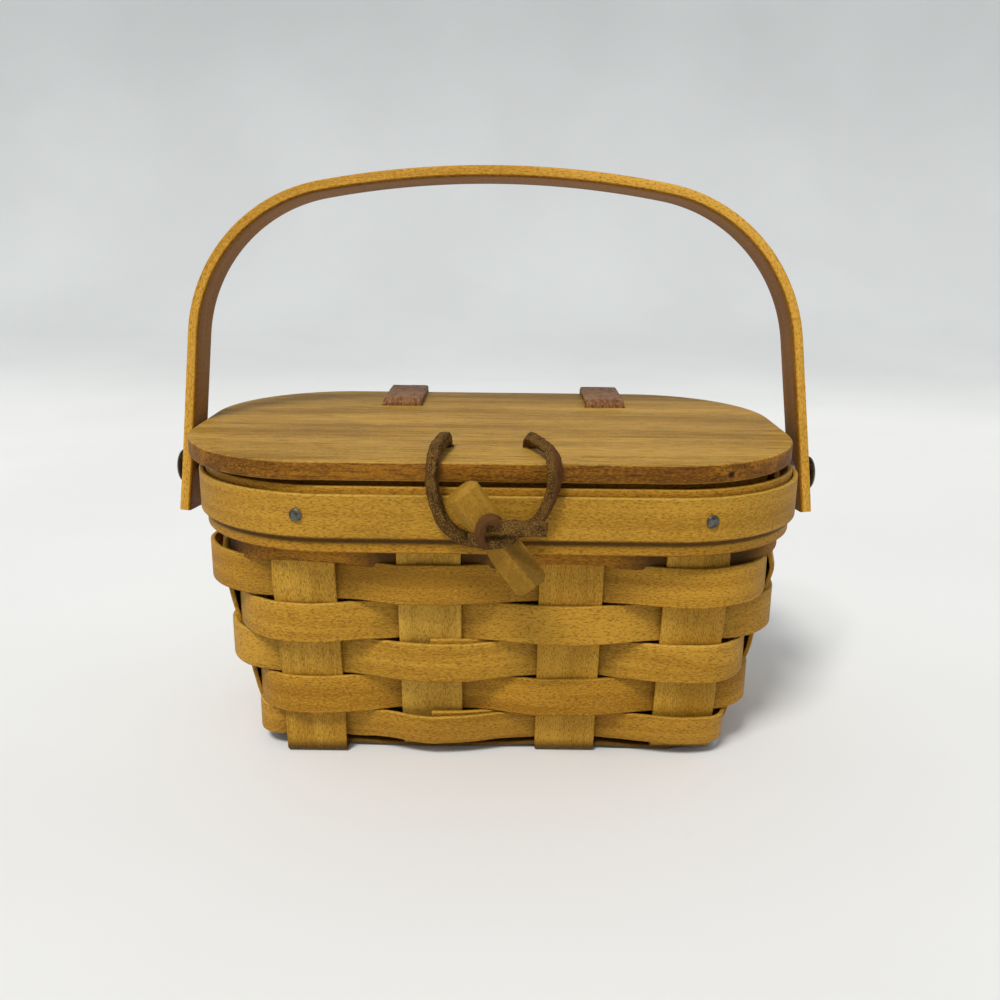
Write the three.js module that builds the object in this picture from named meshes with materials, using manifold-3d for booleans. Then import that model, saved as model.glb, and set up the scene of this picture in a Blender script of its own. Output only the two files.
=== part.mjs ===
// Small woven splint purse: swing handle, hinged wooden lid, and a lace loop that hooks over a peg.
// Millimetres, +Z up. The floor is z = 0 and the front faces -Y. The pieces are laid out round the base's
// centre, and the whole group is then moved so that the middle of the part stands at the origin.
import * as THREE from 'three';
import { mergeVertices } from 'three/addons/utils/BufferGeometryUtils.js';
import Module from 'manifold-3d';

const wasm = await Module();
wasm.setup();

// Driving dimensions: the wall, measured on the middle of the upright stakes
const BASE_WIDTH = 124.4;
const BASE_DEPTH = 56.8;
const MOUTH_WIDTH = 155.1;
const MOUTH_DEPTH = 87.5;
const BASE_CORNER_RADIUS = 3.5;
const WEAVE_CORNER_RADIUS = 15;
const NECK_CORNER_RADIUS = 22;
const MOUTH_CORNER_RADIUS = 37;

// Driving dimensions: splints
const CLEARANCE = 0.3;
const SPLINT_THICKNESS = 1.2;
const STAKE_WIDTH = 16.5;
const STAKE_BEND_RADIUS = 1.5;
const INNER_STAKE_PITCH = 36.6;
const OUTER_STAKE_INSET = 11.6;
const SIDE_STAKE_PITCH = 30;
const STAKE_SHIFT = 1.4;
const ROW_COUNT = 6;
const WEAVER_HEIGHT = 11.1;
const ROW_GAP = 0.45;
const CORNER_STEPS = 6;
const BEND_STEPS = 3;
const WALL_STEPS = 5;
const RIM_STEPS = 3;

// Driving dimensions: rim bands
const OUTER_BAND_HEIGHT = 11.1;
const OUTER_BAND_THICKNESS = 1.3;
const OUTER_BAND_RISE = 8.35;
const UNDER_BAND_REVEAL = 3.5;
const UNDER_BAND_THICKNESS = 1.2;
const INNER_BAND_HEIGHT = 16;
const INNER_BAND_THICKNESS = 1.5;
const INNER_BAND_REVEAL = 2.5;

// Driving dimensions: handle and its pivots
const HANDLE_WIDTH = 12.7;
const HANDLE_THICKNESS = 3.1;
const HANDLE_EDGE = 0.6;
const HANDLE_LEG_LEAN = THREE.MathUtils.degToRad(5.5);
const HANDLE_LEG_LENGTH = 38.2;
const HANDLE_FOOT_LENGTH = 12.2;
const HANDLE_CORNER_RADIUS = 45;
const HANDLE_CORNER_TURN = THREE.MathUtils.degToRad(74);
const HANDLE_DRIFT = 1.7;
const HANDLE_REST_LEAN = THREE.MathUtils.degToRad(5.5);
const PIVOT_DROP = 4.15;
const WASHER_RADIUS = 3.5;
const WASHER_THICKNESS = 2.8;
const RIVET_RADIUS = 1.6;
const RIVET_HEAD_RADIUS = 4.75;
const RIVET_HEAD_HEIGHT = 2;
const RIVET_TAIL_RADIUS = 2.4;
const RIVET_TAIL_TIP = 1.7;
const RIVET_TAIL_HEIGHT = 0.8;
const BURR_RADIUS = 4;
const BURR_THICKNESS = 1;

// Driving dimensions: tacks
const TACK_DROP = 5.25;
const TACK_RADIUS = 0.65;
const TACK_HEAD_RADIUS = 1.65;
const TACK_HEAD_HEIGHT = 0.8;

// Driving dimensions: lid and its two leather hinge straps
const LID_THICKNESS = 4.8;
const LID_INSET = 0.6;
const LID_CORNER_RADIUS = 37;
const LID_EDGE = 0.5;
const LID_SHIFT = -1.3;
const LID_TILT = THREE.MathUtils.degToRad(1.95);
const LID_FRONT_GAP = 0.8;
const STRAP_WIDTH = 12;
const STRAP_THICKNESS = 2;
const STRAP_X = [-30, 33];
const STRAP_SLOT_INSET = 24;
const STRAP_END_DROP = 6;

// Driving dimensions: lace loop and toggle
const LACE_RADIUS = 1.6;
const LACE_HOLE_SPREAD = 21.3;
const LACE_HOLE_SHIFT = -0.7;
const LACE_HOLE_INSET = 17.5;
const LACE_KNOT_RADIUS = 2.5;
const NECK_X = -1;
const NECK_DROP = 4.45;
const PEG_RADIUS = 4.25;
const PEG_LENGTH = 27.2;
const PEG_WAIST = 9.6;
const PEG_CHAMFER = 1.2;
const PEG_TILT = THREE.MathUtils.degToRad(33);
const PEG_CHISEL = THREE.MathUtils.degToRad(20);
const PEG_CHISEL_LENGTH = 11;
const TOGGLE_ROOM = 4.2;
const RING_THICKNESS = 2.2;
const TAIL_RADIUS = 1.45;
const TAIL_KNOT_PROUD = 0.4;

// The lace's route from each hole over the lid, by hand: steps outward, forward and above the lid's top
const LOOP_OVER_LID = [[0, 0.2, 1], [0.2, 3, 2.7], [1.2, 9.5, 2.7], [1.9, 15.5, 2.2], [2.1, 19.7, 0.4]];
const LOOP_SKEW = 2.55;

// Its hanging bight, by hand: right of the neck, ahead of the rim's face and above the neck
const LOOP_BIGHT = [
  [-14, 2.6, 8.85], [-13.4, 2.5, 4.65], [-11.2, 2.2, -1.35], [-6.4, 2, -5.35], [0, 2, -6.75],
  [6.6, 2, -5.55], [11.6, 2.2, -1.55], [14.2, 2.5, 4.05], [15.2, 2.6, 8.85],
];

// The toggle's loose tail, by hand: right of its knot, ahead of it and above it
const TAIL_ROUTE = [[0, 0, 0], [4.3, 1, -0.8], [8.7, 0.6, -1], [13, -0.4, -1.2]];

// Sides and steps of small curves, and the length of a drill
const DRILL_LENGTH = 24;
const DRILL_SIDES = 8;
const LACE_HOLE_SIDES = 12;
const TACK_SIDES = 10;
const RIVET_SIDES = 16;
const DOME_STEPS = 4;
const HANDLE_CORNER_STEPS = 9;
const HANDLE_CROWN_STEPS = 4;
const LID_CORNER_STEPS = 10;
const STRAP_TURN_STEPS = 4;
const PEG_SIDES = 14;
const RING_SIDES = 18;
const LACE_SIDES = 8;
const LOOP_STEPS = 46;
const TAIL_STEPS = 6;
const KNOT_SIDES = 10;
const KNOT_RINGS = 6;
const WELD = 1e-4;

// Colours and finishes of the woods, leathers and metals
const WOOD = {
  honey: 0xc8933f,
  stake: 0xcb9a4a,
  band: 0xc48a38,
  handle: 0xc8862c,
  lid: 0xa8793c,
  peg: 0xb98436,
  roughness: 0.6,
  metalness: 0,
};
const LEATHER = { strap: 0x7a3a1e, lace: 0x5e3820, roughness: 0.75, metalness: 0 };
const STEEL = { tack: 0x77746c, washer: 0x8a8780, roughness: 0.45, metalness: 0.8 };
const LACQUER = { rivet: 0x2a1a12, roughness: 0.3, metalness: 0.4 };

// Heights that follow from the splints and bands
const rowPitch = WEAVER_HEIGHT + ROW_GAP;
const firstRow = SPLINT_THICKNESS + CLEARANCE;
const weaveTop = firstRow + ROW_COUNT * rowPitch - ROW_GAP;
const topRow = weaveTop - WEAVER_HEIGHT;
const openTop = topRow - ROW_GAP;
const outerBandTop = weaveTop + OUTER_BAND_RISE;
const outerBandBottom = outerBandTop - OUTER_BAND_HEIGHT;
const underBandBottom = outerBandBottom - UNDER_BAND_REVEAL;
const innerBandTop = outerBandTop + INNER_BAND_REVEAL;
const wallHeight = outerBandTop;
const pivotHeight = outerBandTop - PIVOT_DROP;
const tackHeight = outerBandTop - TACK_DROP;
const neckHeight = outerBandTop - NECK_DROP;

// Layers of the wall, as distances out from the middle of the stakes
const weaveSwing = SPLINT_THICKNESS + CLEARANCE;
const weaveReach = weaveSwing + SPLINT_THICKNESS / 2;
const underBandFace = weaveReach + CLEARANCE + UNDER_BAND_THICKNESS;
const outerBandFace = underBandFace + CLEARANCE + OUTER_BAND_THICKNESS;
const innerBandFace = -weaveReach - CLEARANCE - INNER_BAND_THICKNESS;

// Helpers: closed solids from cross-sections, joins and cuts

function outwardGeometry(points, triangles) {
  const positions = new Float32Array(points.flatMap((p) => [p.x, p.y, p.z]));
  let volume = 0;
  for (const [a, b, c] of triangles) {
    volume += points[a].dot(new THREE.Vector3().crossVectors(points[b], points[c]));
  }
  const facing = volume < 0 ? triangles.map(([a, b, c]) => [a, c, b]) : triangles;
  const geometry = new THREE.BufferGeometry();
  geometry.setAttribute('position', new THREE.BufferAttribute(positions, 3));
  geometry.setIndex(facing.flat());
  return geometry;
}

// Joins equal loops of points into one skin, closed on itself or capped at both ends.
function loft(sections, closed = false) {
  const count = sections[0].length;
  const triangles = [];
  const spans = closed ? sections.length : sections.length - 1;
  for (let i = 0; i < spans; i++) {
    const here = i * count;
    const there = ((i + 1) % sections.length) * count;
    for (let j = 0; j < count; j++) {
      const k = (j + 1) % count;
      triangles.push([here + j, there + j, there + k], [here + j, there + k, here + k]);
    }
  }
  if (!closed) {
    const last = (sections.length - 1) * count;
    for (let j = 1; j < count - 1; j++) {
      triangles.push([0, j, j + 1], [last, last + j + 1, last + j]);
    }
  }
  return outwardGeometry(sections.flat(), triangles);
}

function toManifold(geometry) {
  const bare = geometry.clone();
  bare.deleteAttribute('normal');
  bare.deleteAttribute('uv');
  const merged = mergeVertices(bare, WELD);
  return new wasm.Manifold(new wasm.Mesh({
    numProp: 3,
    vertProperties: new Float32Array(merged.attributes.position.array),
    triVerts: new Uint32Array(merged.index.array),
  }));
}

function fromManifold(solid) {
  const mesh = solid.getMesh();
  const geometry = new THREE.BufferGeometry();
  geometry.setAttribute('position', new THREE.BufferAttribute(mesh.vertProperties, 3));
  geometry.setIndex(new THREE.BufferAttribute(mesh.triVerts, 1));
  return geometry;
}

function cut(geometry, cutters) {
  const blank = toManifold(geometry);
  return fromManifold(cutters.reduce((solid, cutter) => solid.subtract(toManifold(cutter)), blank));
}

function join(geometries) {
  return fromManifold(geometries.map(toManifold).reduce((whole, next) => whole.add(next)));
}

// A turned piece: the profile is a list of [radius, height] from end to end along the axis.
function turned(profile, origin, axis, sides) {
  const outline = profile.map(([radius, height]) => new THREE.Vector2(radius, height));
  const latheAxis = new THREE.Vector3(0, 1, 0);
  const turn = new THREE.Quaternion().setFromUnitVectors(latheAxis, axis.clone().normalize());
  const place = new THREE.Matrix4().compose(origin, turn, new THREE.Vector3(1, 1, 1));
  return new THREE.LatheGeometry(outline, sides).applyMatrix4(place);
}

function rod(radius, origin, axis, length, sides) {
  const half = length / 2;
  return turned([[0, -half], [radius, -half], [radius, half], [0, half]], origin, axis, sides);
}

function drill(radius, origin, axis, sides = DRILL_SIDES) {
  return rod(radius, origin, axis, DRILL_LENGTH, sides);
}

function tube(curve, radius, steps, sides) {
  const section = new THREE.Shape();
  for (let k = 0; k < sides; k++) {
    const angle = (2 * Math.PI * k) / sides;
    section[k ? 'lineTo' : 'moveTo'](radius * Math.cos(angle), radius * Math.sin(angle));
  }
  return new THREE.ExtrudeGeometry(section, { steps, extrudePath: curve });
}

// The wall: a rounded rectangle that grows from base to mouth. Its corners stay tight up to the last open
// row, and above that the rim draws them in. The stakes, the top row and the inner band lean with it.

const share = (low, high, z) => low + ((high - low) * z) / wallHeight;
const flare = (MOUTH_DEPTH - BASE_DEPTH) / 2 / wallHeight;
const sideFlare = (MOUTH_WIDTH - BASE_WIDTH) / 2 / wallHeight;

// Open rows stand upright on the leaning stakes, so they swing wider than the top row, which leans with them.
const openSwing = weaveSwing + (WEAVER_HEIGHT / 2) * Math.max(flare, sideFlare);

const rimFoot = underBandBottom - CLEARANCE;
const rimRadius = (z) => MOUTH_CORNER_RADIUS - (wallHeight - z) * flare;
const cornerKnots = [
  [0, BASE_CORNER_RADIUS],
  [openTop, WEAVE_CORNER_RADIUS],
  [topRow, NECK_CORNER_RADIUS],
  [rimFoot, rimRadius(rimFoot)],
];

function cornerRadius(z) {
  const next = cornerKnots.findIndex(([height]) => height >= z);
  if (next === -1) return rimRadius(z);
  const [[low, from], [high, to]] = cornerKnots.slice(Math.max(0, next - 1)).slice(0, 2);
  return THREE.MathUtils.mapLinear(z, low, high, from, to);
}

function wallShape(side, z) {
  const halfWidth = share(BASE_WIDTH, MOUTH_WIDTH, z) / 2;
  const halfDepth = share(BASE_DEPTH, MOUTH_DEPTH, z) / 2;
  const radius = cornerRadius(z);
  const [along, out] = side % 2 ? [halfDepth, halfWidth] : [halfWidth, halfDepth];
  return { along: along - radius, out: out - radius, radius };
}

// Sides run front, right, back, left; each is the front turned by a quarter turn.
function onSide(side, along, out, z) {
  const quarter = [[along, -out], [out, along], [-along, out], [-out, -along]][side];
  return new THREE.Vector3(quarter[0], quarter[1], z);
}

// A place on the wall is either a distance along one side or a share of the corner after it.
function wallAngle(place, shape, z) {
  if (place.corner === undefined) {
    const past = Math.max(0, Math.abs(place.at) - shape.along);
    return Math.sign(place.at) * Math.asin(past / shape.radius);
  }
  const next = wallShape((place.side + 1) % 4, z);
  const from = Math.asin(Math.max(0, place.from - shape.along) / shape.radius);
  const to = Math.PI / 2 - Math.asin(Math.max(0, place.to - next.along) / next.radius);
  return from + (to - from) * place.corner;
}

function wallPoint(place, z, distance) {
  const shape = wallShape(place.side, z);
  const angle = wallAngle(place, shape, z);
  const reach = shape.radius + distance;
  const onFlat = place.corner === undefined && Math.abs(place.at) <= shape.along;
  const arcCentre = onFlat ? place.at : Math.sign(angle) * shape.along;
  return onSide(place.side, arcCentre + reach * Math.sin(angle), shape.out + reach * Math.cos(angle), z);
}

function wallNormal(place, z) {
  return wallPoint(place, z, 1).sub(wallPoint(place, z, 0));
}

// A point on the rim, which stands upright with the outline of the wall's top.
function rimPoint(place, z, distance) {
  return wallPoint(place, wallHeight, distance).setZ(z);
}

// Where the stakes stand, in order round the wall
const outerStake = BASE_WIDTH / 2 - OUTER_STAKE_INSET;
const crossStakes = [-outerStake, -INNER_STAKE_PITCH / 2, INNER_STAKE_PITCH / 2, outerStake];
const crossStakeX = crossStakes.map((x) => x + STAKE_SHIFT);
const sideStakeY = [-SIDE_STAKE_PITCH / 2, SIDE_STAKE_PITCH / 2];
const stakePlaces = [
  ...crossStakeX.map((x) => ({ side: 0, at: x })),
  ...sideStakeY.map((y) => ({ side: 1, at: y })),
  ...[...crossStakeX].reverse().map((x) => ({ side: 2, at: -x })),
  ...sideStakeY.map((y) => ({ side: 3, at: y })),
];
const stakeCover = STAKE_WIDTH / 2 + CLEARANCE;

// Stations that every hoop passes; turn runs from 0 at one stake to 1 at the next.
function hoopStations() {
  return stakePlaces.flatMap((stake, index) => {
    const next = stakePlaces[(index + 1) % stakePlaces.length];
    const stations = [-1, 0, 1].map((k) => ({ ...stake, at: stake.at + k * stakeCover, index, turn: 0 }));
    if (next.side === stake.side) {
      return [...stations, { side: stake.side, at: (stake.at + next.at) / 2, index, turn: 0.5 }];
    }
    for (let k = 1; k < CORNER_STEPS; k++) {
      const corner = k / CORNER_STEPS;
      const from = stake.at + stakeCover;
      stations.push({ side: stake.side, corner, from, to: stakeCover - next.at, index, turn: corner });
    }
    return stations;
  });
}

const hoop = hoopStations();
const stationsPerStake = 4;

// A strip standing on edge from the first height to the last, from one face distance to another. It leans
// with the wall, or stands upright with the wall's outline at one height.
function stripSection(place, heights, inner, outer, outlineHeight = null) {
  const onFace = (z, distance) => wallPoint(place, outlineHeight ?? z, distance).setZ(z);
  return [
    ...heights.map((z) => onFace(z, outer)),
    ...[...heights].reverse().map((z) => onFace(z, inner)),
  ];
}

function bandGeometry(bottom, top, inner, outer, outlineHeight) {
  return loft(hoop.map((place) => stripSection(place, [bottom, top], inner, outer, outlineHeight)), true);
}

// Weaving: +1 where a row lies outside the stakes, -1 where it lies inside.
function weaveSide(place, row) {
  const atStake = (place.index + row) % 2 ? -1 : 1;
  return atStake * Math.cos(Math.PI * place.turn);
}

function weaverSection(place, row, ply) {
  const bottom = firstRow + (ROW_COUNT - 1 - row) * rowPitch;
  const top = bottom + WEAVER_HEIGHT;
  const half = SPLINT_THICKNESS / 2;
  if (row === 0) {
    const leaning = weaveSide(place, row) * weaveSwing + ply;
    return stripSection(place, [bottom, rimFoot, top], leaning - half, leaning + half);
  }
  const upright = weaveSide(place, row) * openSwing + ply;
  return stripSection(place, [bottom, top], upright - half, upright + half, (bottom + top) / 2);
}

// A row is one strip whose ends lap between two stakes: the first end is inside, the last end outside.
function lappedWeaver(row, lapStake) {
  const first = hoop.findIndex((place) => place.index === lapStake && place.turn === 0) + 1;
  const lapEnd = stationsPerStake;
  const ease = 1;
  const step = SPLINT_THICKNESS + CLEARANCE;
  const sections = [];
  for (let k = 0; k <= hoop.length + lapEnd; k++) {
    const place = hoop[(first + k) % hoop.length];
    const side = weaveSide(place, row);
    const early = THREE.MathUtils.clamp((lapEnd + 2 * ease - k) / (2 * ease), 0, 1);
    const late = THREE.MathUtils.clamp((k - hoop.length + 2 * ease) / (2 * ease), 0, 1);
    const ply = late * step * (1 + side) / 2 - early * step * (1 - side) / 2;
    sections.push(weaverSection(place, row, ply));
  }
  return loft(sections);
}

function closedWeaver(row) {
  return loft(hoop.map((place) => weaverSection(place, row, 0)), true);
}

// Stakes: up one wall, across the base and up the opposite wall

const lowerPly = SPLINT_THICKNESS / 2;
const upperPly = lowerPly + SPLINT_THICKNESS + CLEARANCE;
const basePly = (crossIndex, sideIndex) => ((crossIndex + sideIndex) % 2 ? upperPly : lowerPly);
const across = [-STAKE_WIDTH / 2, 0, STAKE_WIDTH / 2];

// Six points round a stake's section: the outer face one way and the inner face back.
function stakeSection(middles, directions) {
  const half = SPLINT_THICKNESS / 2;
  const outer = middles.map((p, k) => p.clone().addScaledVector(directions[k], half));
  const inner = middles.map((p, k) => p.clone().addScaledVector(directions[k], -half));
  return [...outer, ...inner.reverse()];
}

// Heights from one to another, without the last.
function evenSteps(from, to, count) {
  return Array.from({ length: count }, (_, k) => from + ((to - from) * k) / count);
}

// One upright from its top to the foot of its bend, where it turns flat at the height of its base ply.
function uprightSections(side, centre, flip, ply) {
  const places = across.map((offset) => ({ side, at: flip * (centre + offset) }));
  const slope = side % 2 ? sideFlare : flare;
  const lean = Math.atan(slope);
  const bendTop = ply + STAKE_BEND_RADIUS * (1 - Math.sin(lean));
  const top = wallHeight - CLEARANCE;
  const heights = [
    ...evenSteps(top, rimFoot, RIM_STEPS),
    rimFoot,
    topRow,
    ...evenSteps(openTop, bendTop, WALL_STEPS),
  ];
  const sections = heights.map((z) => (
    stakeSection(places.map((p) => wallPoint(p, z, 0)), places.map((p) => wallNormal(p, z)))));
  for (let k = 0; k <= BEND_STEPS; k++) {
    const angle = lean + ((Math.PI / 2 - lean) * k) / BEND_STEPS;
    const inward = STAKE_BEND_RADIUS * (Math.cos(angle) - Math.cos(lean));
    const z = ply + STAKE_BEND_RADIUS * (1 - Math.sin(angle));
    const middles = places.map((p) => wallPoint(p, bendTop, inward).setZ(z));
    const out = onSide(side, 0, Math.cos(angle), -Math.sin(angle));
    sections.push(stakeSection(middles, places.map(() => out)));
  }
  return sections;
}

// The flat stretch: level at each crossing, sloping between one crossing and the next.
function flatSections(centre, crossings, plies, alongX) {
  const sections = [];
  const down = new THREE.Vector3(0, 0, -1);
  for (let k = 0; k < crossings.length - 1; k++) {
    const ends = [[crossings[k] + stakeCover, plies[k]], [crossings[k + 1] - stakeCover, plies[k + 1]]];
    for (const [along, z] of ends) {
      const middles = across.map((offset) => (alongX
        ? new THREE.Vector3(along, centre + offset, z)
        : new THREE.Vector3(centre + offset, along, z)));
      sections.push(stakeSection(middles, across.map(() => down)));
    }
  }
  return sections;
}

function crossStake(index) {
  const plies = sideStakeY.map((_, k) => basePly(index, k));
  const centre = crossStakeX[index];
  return loft([
    ...uprightSections(0, centre, 1, plies[0]),
    ...flatSections(centre, sideStakeY, plies, false),
    ...uprightSections(2, centre, -1, plies.at(-1)).reverse(),
  ]);
}

function lengthStake(index) {
  const plies = crossStakeX.map((_, k) => (basePly(k, index) === lowerPly ? upperPly : lowerPly));
  const centre = sideStakeY[index];
  return loft([
    ...uprightSections(1, centre, 1, plies.at(-1)),
    ...flatSections(centre, crossStakeX, plies, true).reverse(),
    ...uprightSections(3, centre, -1, plies[0]).reverse(),
  ]);
}

// Fastener places on the rim
const bandTackPlaces = {
  front_left: { side: 0, at: crossStakeX[0] },
  front_right: { side: 0, at: crossStakeX.at(-1) },
  back_left: { side: 2, at: -crossStakeX[0] },
  back_right: { side: 2, at: -crossStakeX.at(-1) },
};
const strapTackPlaces = STRAP_X.map((x) => ({ side: 2, at: -x }));
const neckPlace = { side: 0, at: NECK_X };

function tackHole(place) {
  const centre = wallPoint(place, tackHeight, 0);
  return drill(TACK_RADIUS + CLEARANCE, centre, wallNormal(place, tackHeight));
}

function rimHoles() {
  const xAxis = new THREE.Vector3(1, 0, 0);
  const yAxis = new THREE.Vector3(0, 1, 0);
  const neckCentre = wallPoint(neckPlace, neckHeight, 0);
  const rivetHoles = [1, 3].map((side) => drill(RIVET_RADIUS + CLEARANCE, pivotPoint(side), xAxis));
  const neckHole = drill(LACE_RADIUS + CLEARANCE, neckCentre, yAxis, LACE_HOLE_SIDES);
  const tackHoles = [...Object.values(bandTackPlaces), ...strapTackPlaces].map(tackHole);
  return [...rivetHoles, neckHole, ...tackHoles];
}

function pivotPoint(side) {
  return wallPoint({ side, at: 0 }, pivotHeight, 0);
}

// A tack with a low domed head over a layer on the rim, its shank ending inside the inner band.
function tackGeometry(place, layer) {
  const root = wallPoint(place, tackHeight, 0);
  const normal = wallNormal(place, tackHeight);
  const seat = rimPoint(place, tackHeight, layer).sub(root).dot(normal);
  const tip = innerBandFace + INNER_BAND_THICKNESS / 2;
  const profile = [
    [0, tip],
    [TACK_RADIUS, tip + TACK_RADIUS],
    [TACK_RADIUS, seat],
    [TACK_HEAD_RADIUS, seat],
    [TACK_HEAD_RADIUS, seat + TACK_HEAD_HEIGHT / 2],
    [TACK_HEAD_RADIUS / 2, seat + TACK_HEAD_HEIGHT],
    [0, seat + TACK_HEAD_HEIGHT],
  ];
  return turned(profile, root, normal, TACK_SIDES);
}

// Handle pivot stack, as distances from the basket's middle: burr, wall, washer, handle leg, rivet head
const pivotX = pivotPoint(1).x;
const washerStart = rimPoint({ side: 1, at: 0 }, pivotHeight, outerBandFace).x + CLEARANCE;
const washerEnd = washerStart + WASHER_THICKNESS;
const legLeanRise = (radius) => radius * Math.tan(HANDLE_LEG_LEAN);
const legFace = HANDLE_THICKNESS / 2 / Math.cos(HANDLE_LEG_LEAN);
const legX = washerEnd + CLEARANCE + legLeanRise(WASHER_RADIUS) + legFace;
const headStart = legX + legFace + legLeanRise(RIVET_HEAD_RADIUS) + CLEARANCE;
const burrEnd = pivotX + innerBandFace - BURR_RADIUS * sideFlare - CLEARANCE;
const burrStart = burrEnd - BURR_THICKNESS;

function washerRing(start, end, radius, sign) {
  const bore = RIVET_RADIUS + CLEARANCE;
  const profile = [[bore, start], [radius, start], [radius, end], [bore, end], [bore, start]];
  return turned(profile, new THREE.Vector3(0, 0, pivotHeight), new THREE.Vector3(sign, 0, 0), RIVET_SIDES);
}

function rivetGeometry(sign) {
  const tailEnd = burrStart - CLEARANCE;
  const profile = [
    [0, tailEnd - RIVET_TAIL_HEIGHT],
    [RIVET_TAIL_TIP, tailEnd - RIVET_TAIL_HEIGHT],
    [RIVET_TAIL_RADIUS, tailEnd - RIVET_TAIL_HEIGHT / 2],
    [RIVET_TAIL_RADIUS, tailEnd],
    [RIVET_RADIUS, tailEnd],
    [RIVET_RADIUS, headStart],
    [RIVET_HEAD_RADIUS, headStart],
  ];
  for (let k = 1; k <= DOME_STEPS; k++) {
    const angle = (Math.PI / 2) * (k / DOME_STEPS);
    const rim = k === DOME_STEPS ? 0 : RIVET_HEAD_RADIUS * Math.cos(angle);
    profile.push([rim, headStart + RIVET_HEAD_HEIGHT * Math.sin(angle)]);
  }
  return turned(profile, new THREE.Vector3(0, 0, pivotHeight), new THREE.Vector3(sign, 0, 0), RIVET_SIDES);
}

// Handle: one bent strip, its middle line in the plane of the arch with the pivots at height 0

function handlePath() {
  const points = [];
  const lean = HANDLE_LEG_LEAN;
  const legRise = (length) => new THREE.Vector3(legX - length * Math.sin(lean), 0, length * Math.cos(lean));
  points.push({ point: legRise(-HANDLE_FOOT_LENGTH), turn: lean }, { point: legRise(0), turn: lean });
  const start = legRise(HANDLE_LEG_LENGTH);
  const crownTurn = Math.PI / 2 - lean - HANDLE_CORNER_TURN;
  const arc = (from, origin, radius, by) => new THREE.Vector3(
    origin.x - radius * (Math.cos(from) - Math.cos(from + by)),
    0,
    origin.z + radius * (Math.sin(from + by) - Math.sin(from)));
  for (let k = 0; k <= HANDLE_CORNER_STEPS; k++) {
    const turn = (HANDLE_CORNER_TURN * k) / HANDLE_CORNER_STEPS;
    points.push({ point: arc(lean, start, HANDLE_CORNER_RADIUS, turn), turn: lean + turn });
  }
  const shoulder = points.at(-1).point;
  const crownRadius = shoulder.x / Math.sin(crownTurn);
  const shoulderTurn = lean + HANDLE_CORNER_TURN;
  for (let k = 1; k <= HANDLE_CROWN_STEPS; k++) {
    const turn = (crownTurn * k) / HANDLE_CROWN_STEPS;
    points.push({ point: arc(shoulderTurn, shoulder, crownRadius, turn), turn: shoulderTurn + turn });
  }
  const mirror = points.slice(0, -1).reverse().map(({ point, turn }) => (
    { point: new THREE.Vector3(-point.x, 0, point.z), turn: Math.PI - turn }));
  return [...points, ...mirror];
}

const crownHeight = Math.max(...handlePath().map(({ point }) => point.z));

function handleGeometry() {
  const half = HANDLE_WIDTH / 2;
  const thick = HANDLE_THICKNESS / 2;
  const edge = HANDLE_EDGE;
  const outline = [
    [half - edge, thick], [half, thick - edge], [half, edge - thick], [half - edge, -thick],
    [edge - half, -thick], [-half, edge - thick], [-half, thick - edge], [edge - half, thick],
  ];
  const sections = handlePath().map(({ point, turn }) => {
    const out = new THREE.Vector3(Math.cos(turn), 0, Math.sin(turn));
    const drift = -HANDLE_DRIFT * Math.max(0, point.z) / crownHeight;
    return outline.map(([wide, deep]) => new THREE.Vector3(
      point.x + drift + out.x * deep, wide, point.z + out.z * deep));
  });
  const xAxis = new THREE.Vector3(1, 0, 0);
  const holes = [-1, 1].map((sign) => (
    drill(RIVET_RADIUS + CLEARANCE, new THREE.Vector3(sign * legX, 0, 0), xAxis)));
  return cut(loft(sections), holes);
}

// Lid: a board with eased edges, slots for the straps and holes for the lace, flat in its own frame

const lidWidth = MOUTH_WIDTH + 2 * (outerBandFace - LID_INSET);
const lidDepth = MOUTH_DEPTH + 2 * (outerBandFace - LID_INSET);
const slotY = lidDepth / 2 - STRAP_SLOT_INSET;
const laceY = LACE_HOLE_INSET - lidDepth / 2;
const lidHeight = innerBandTop + LID_FRONT_GAP + (lidDepth / 2) * Math.sin(LID_TILT);

function roundedOutline(path, width, depth, radius) {
  const x = width / 2 - radius;
  const y = depth / 2 - radius;
  path.absarc(x, y, radius, 0, Math.PI / 2);
  path.absarc(-x, y, radius, Math.PI / 2, Math.PI);
  path.absarc(-x, -y, radius, Math.PI, 1.5 * Math.PI);
  path.absarc(x, -y, radius, 1.5 * Math.PI, 2 * Math.PI);
  path.closePath();
  return path;
}

function lidGeometry() {
  const width = lidWidth - 2 * LID_EDGE;
  const depth = lidDepth - 2 * LID_EDGE;
  const board = roundedOutline(new THREE.Shape(), width, depth, LID_CORNER_RADIUS);
  const blank = new THREE.ExtrudeGeometry(board, {
    depth: LID_THICKNESS - 2 * LID_EDGE,
    bevelThickness: LID_EDGE,
    bevelSize: LID_EDGE,
    bevelSegments: 1,
    curveSegments: LID_CORNER_STEPS,
  }).translate(0, 0, LID_EDGE);
  const slotWidth = STRAP_WIDTH + 2 * CLEARANCE;
  const slotDepth = STRAP_THICKNESS + 2 * CLEARANCE;
  const slots = STRAP_X.map((x) => (
    new THREE.BoxGeometry(slotWidth, slotDepth, DRILL_LENGTH).translate(x - LID_SHIFT, slotY, 0)));
  const zAxis = new THREE.Vector3(0, 0, 1);
  const holes = [-1, 1].map((sign) => {
    const centre = new THREE.Vector3(LACE_HOLE_SHIFT + (sign * LACE_HOLE_SPREAD) / 2, laceY, 0);
    return drill(LACE_RADIUS + CLEARANCE, centre, zAxis, LACE_HOLE_SIDES);
  });
  return cut(blank, [...slots, ...holes]);
}

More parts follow.
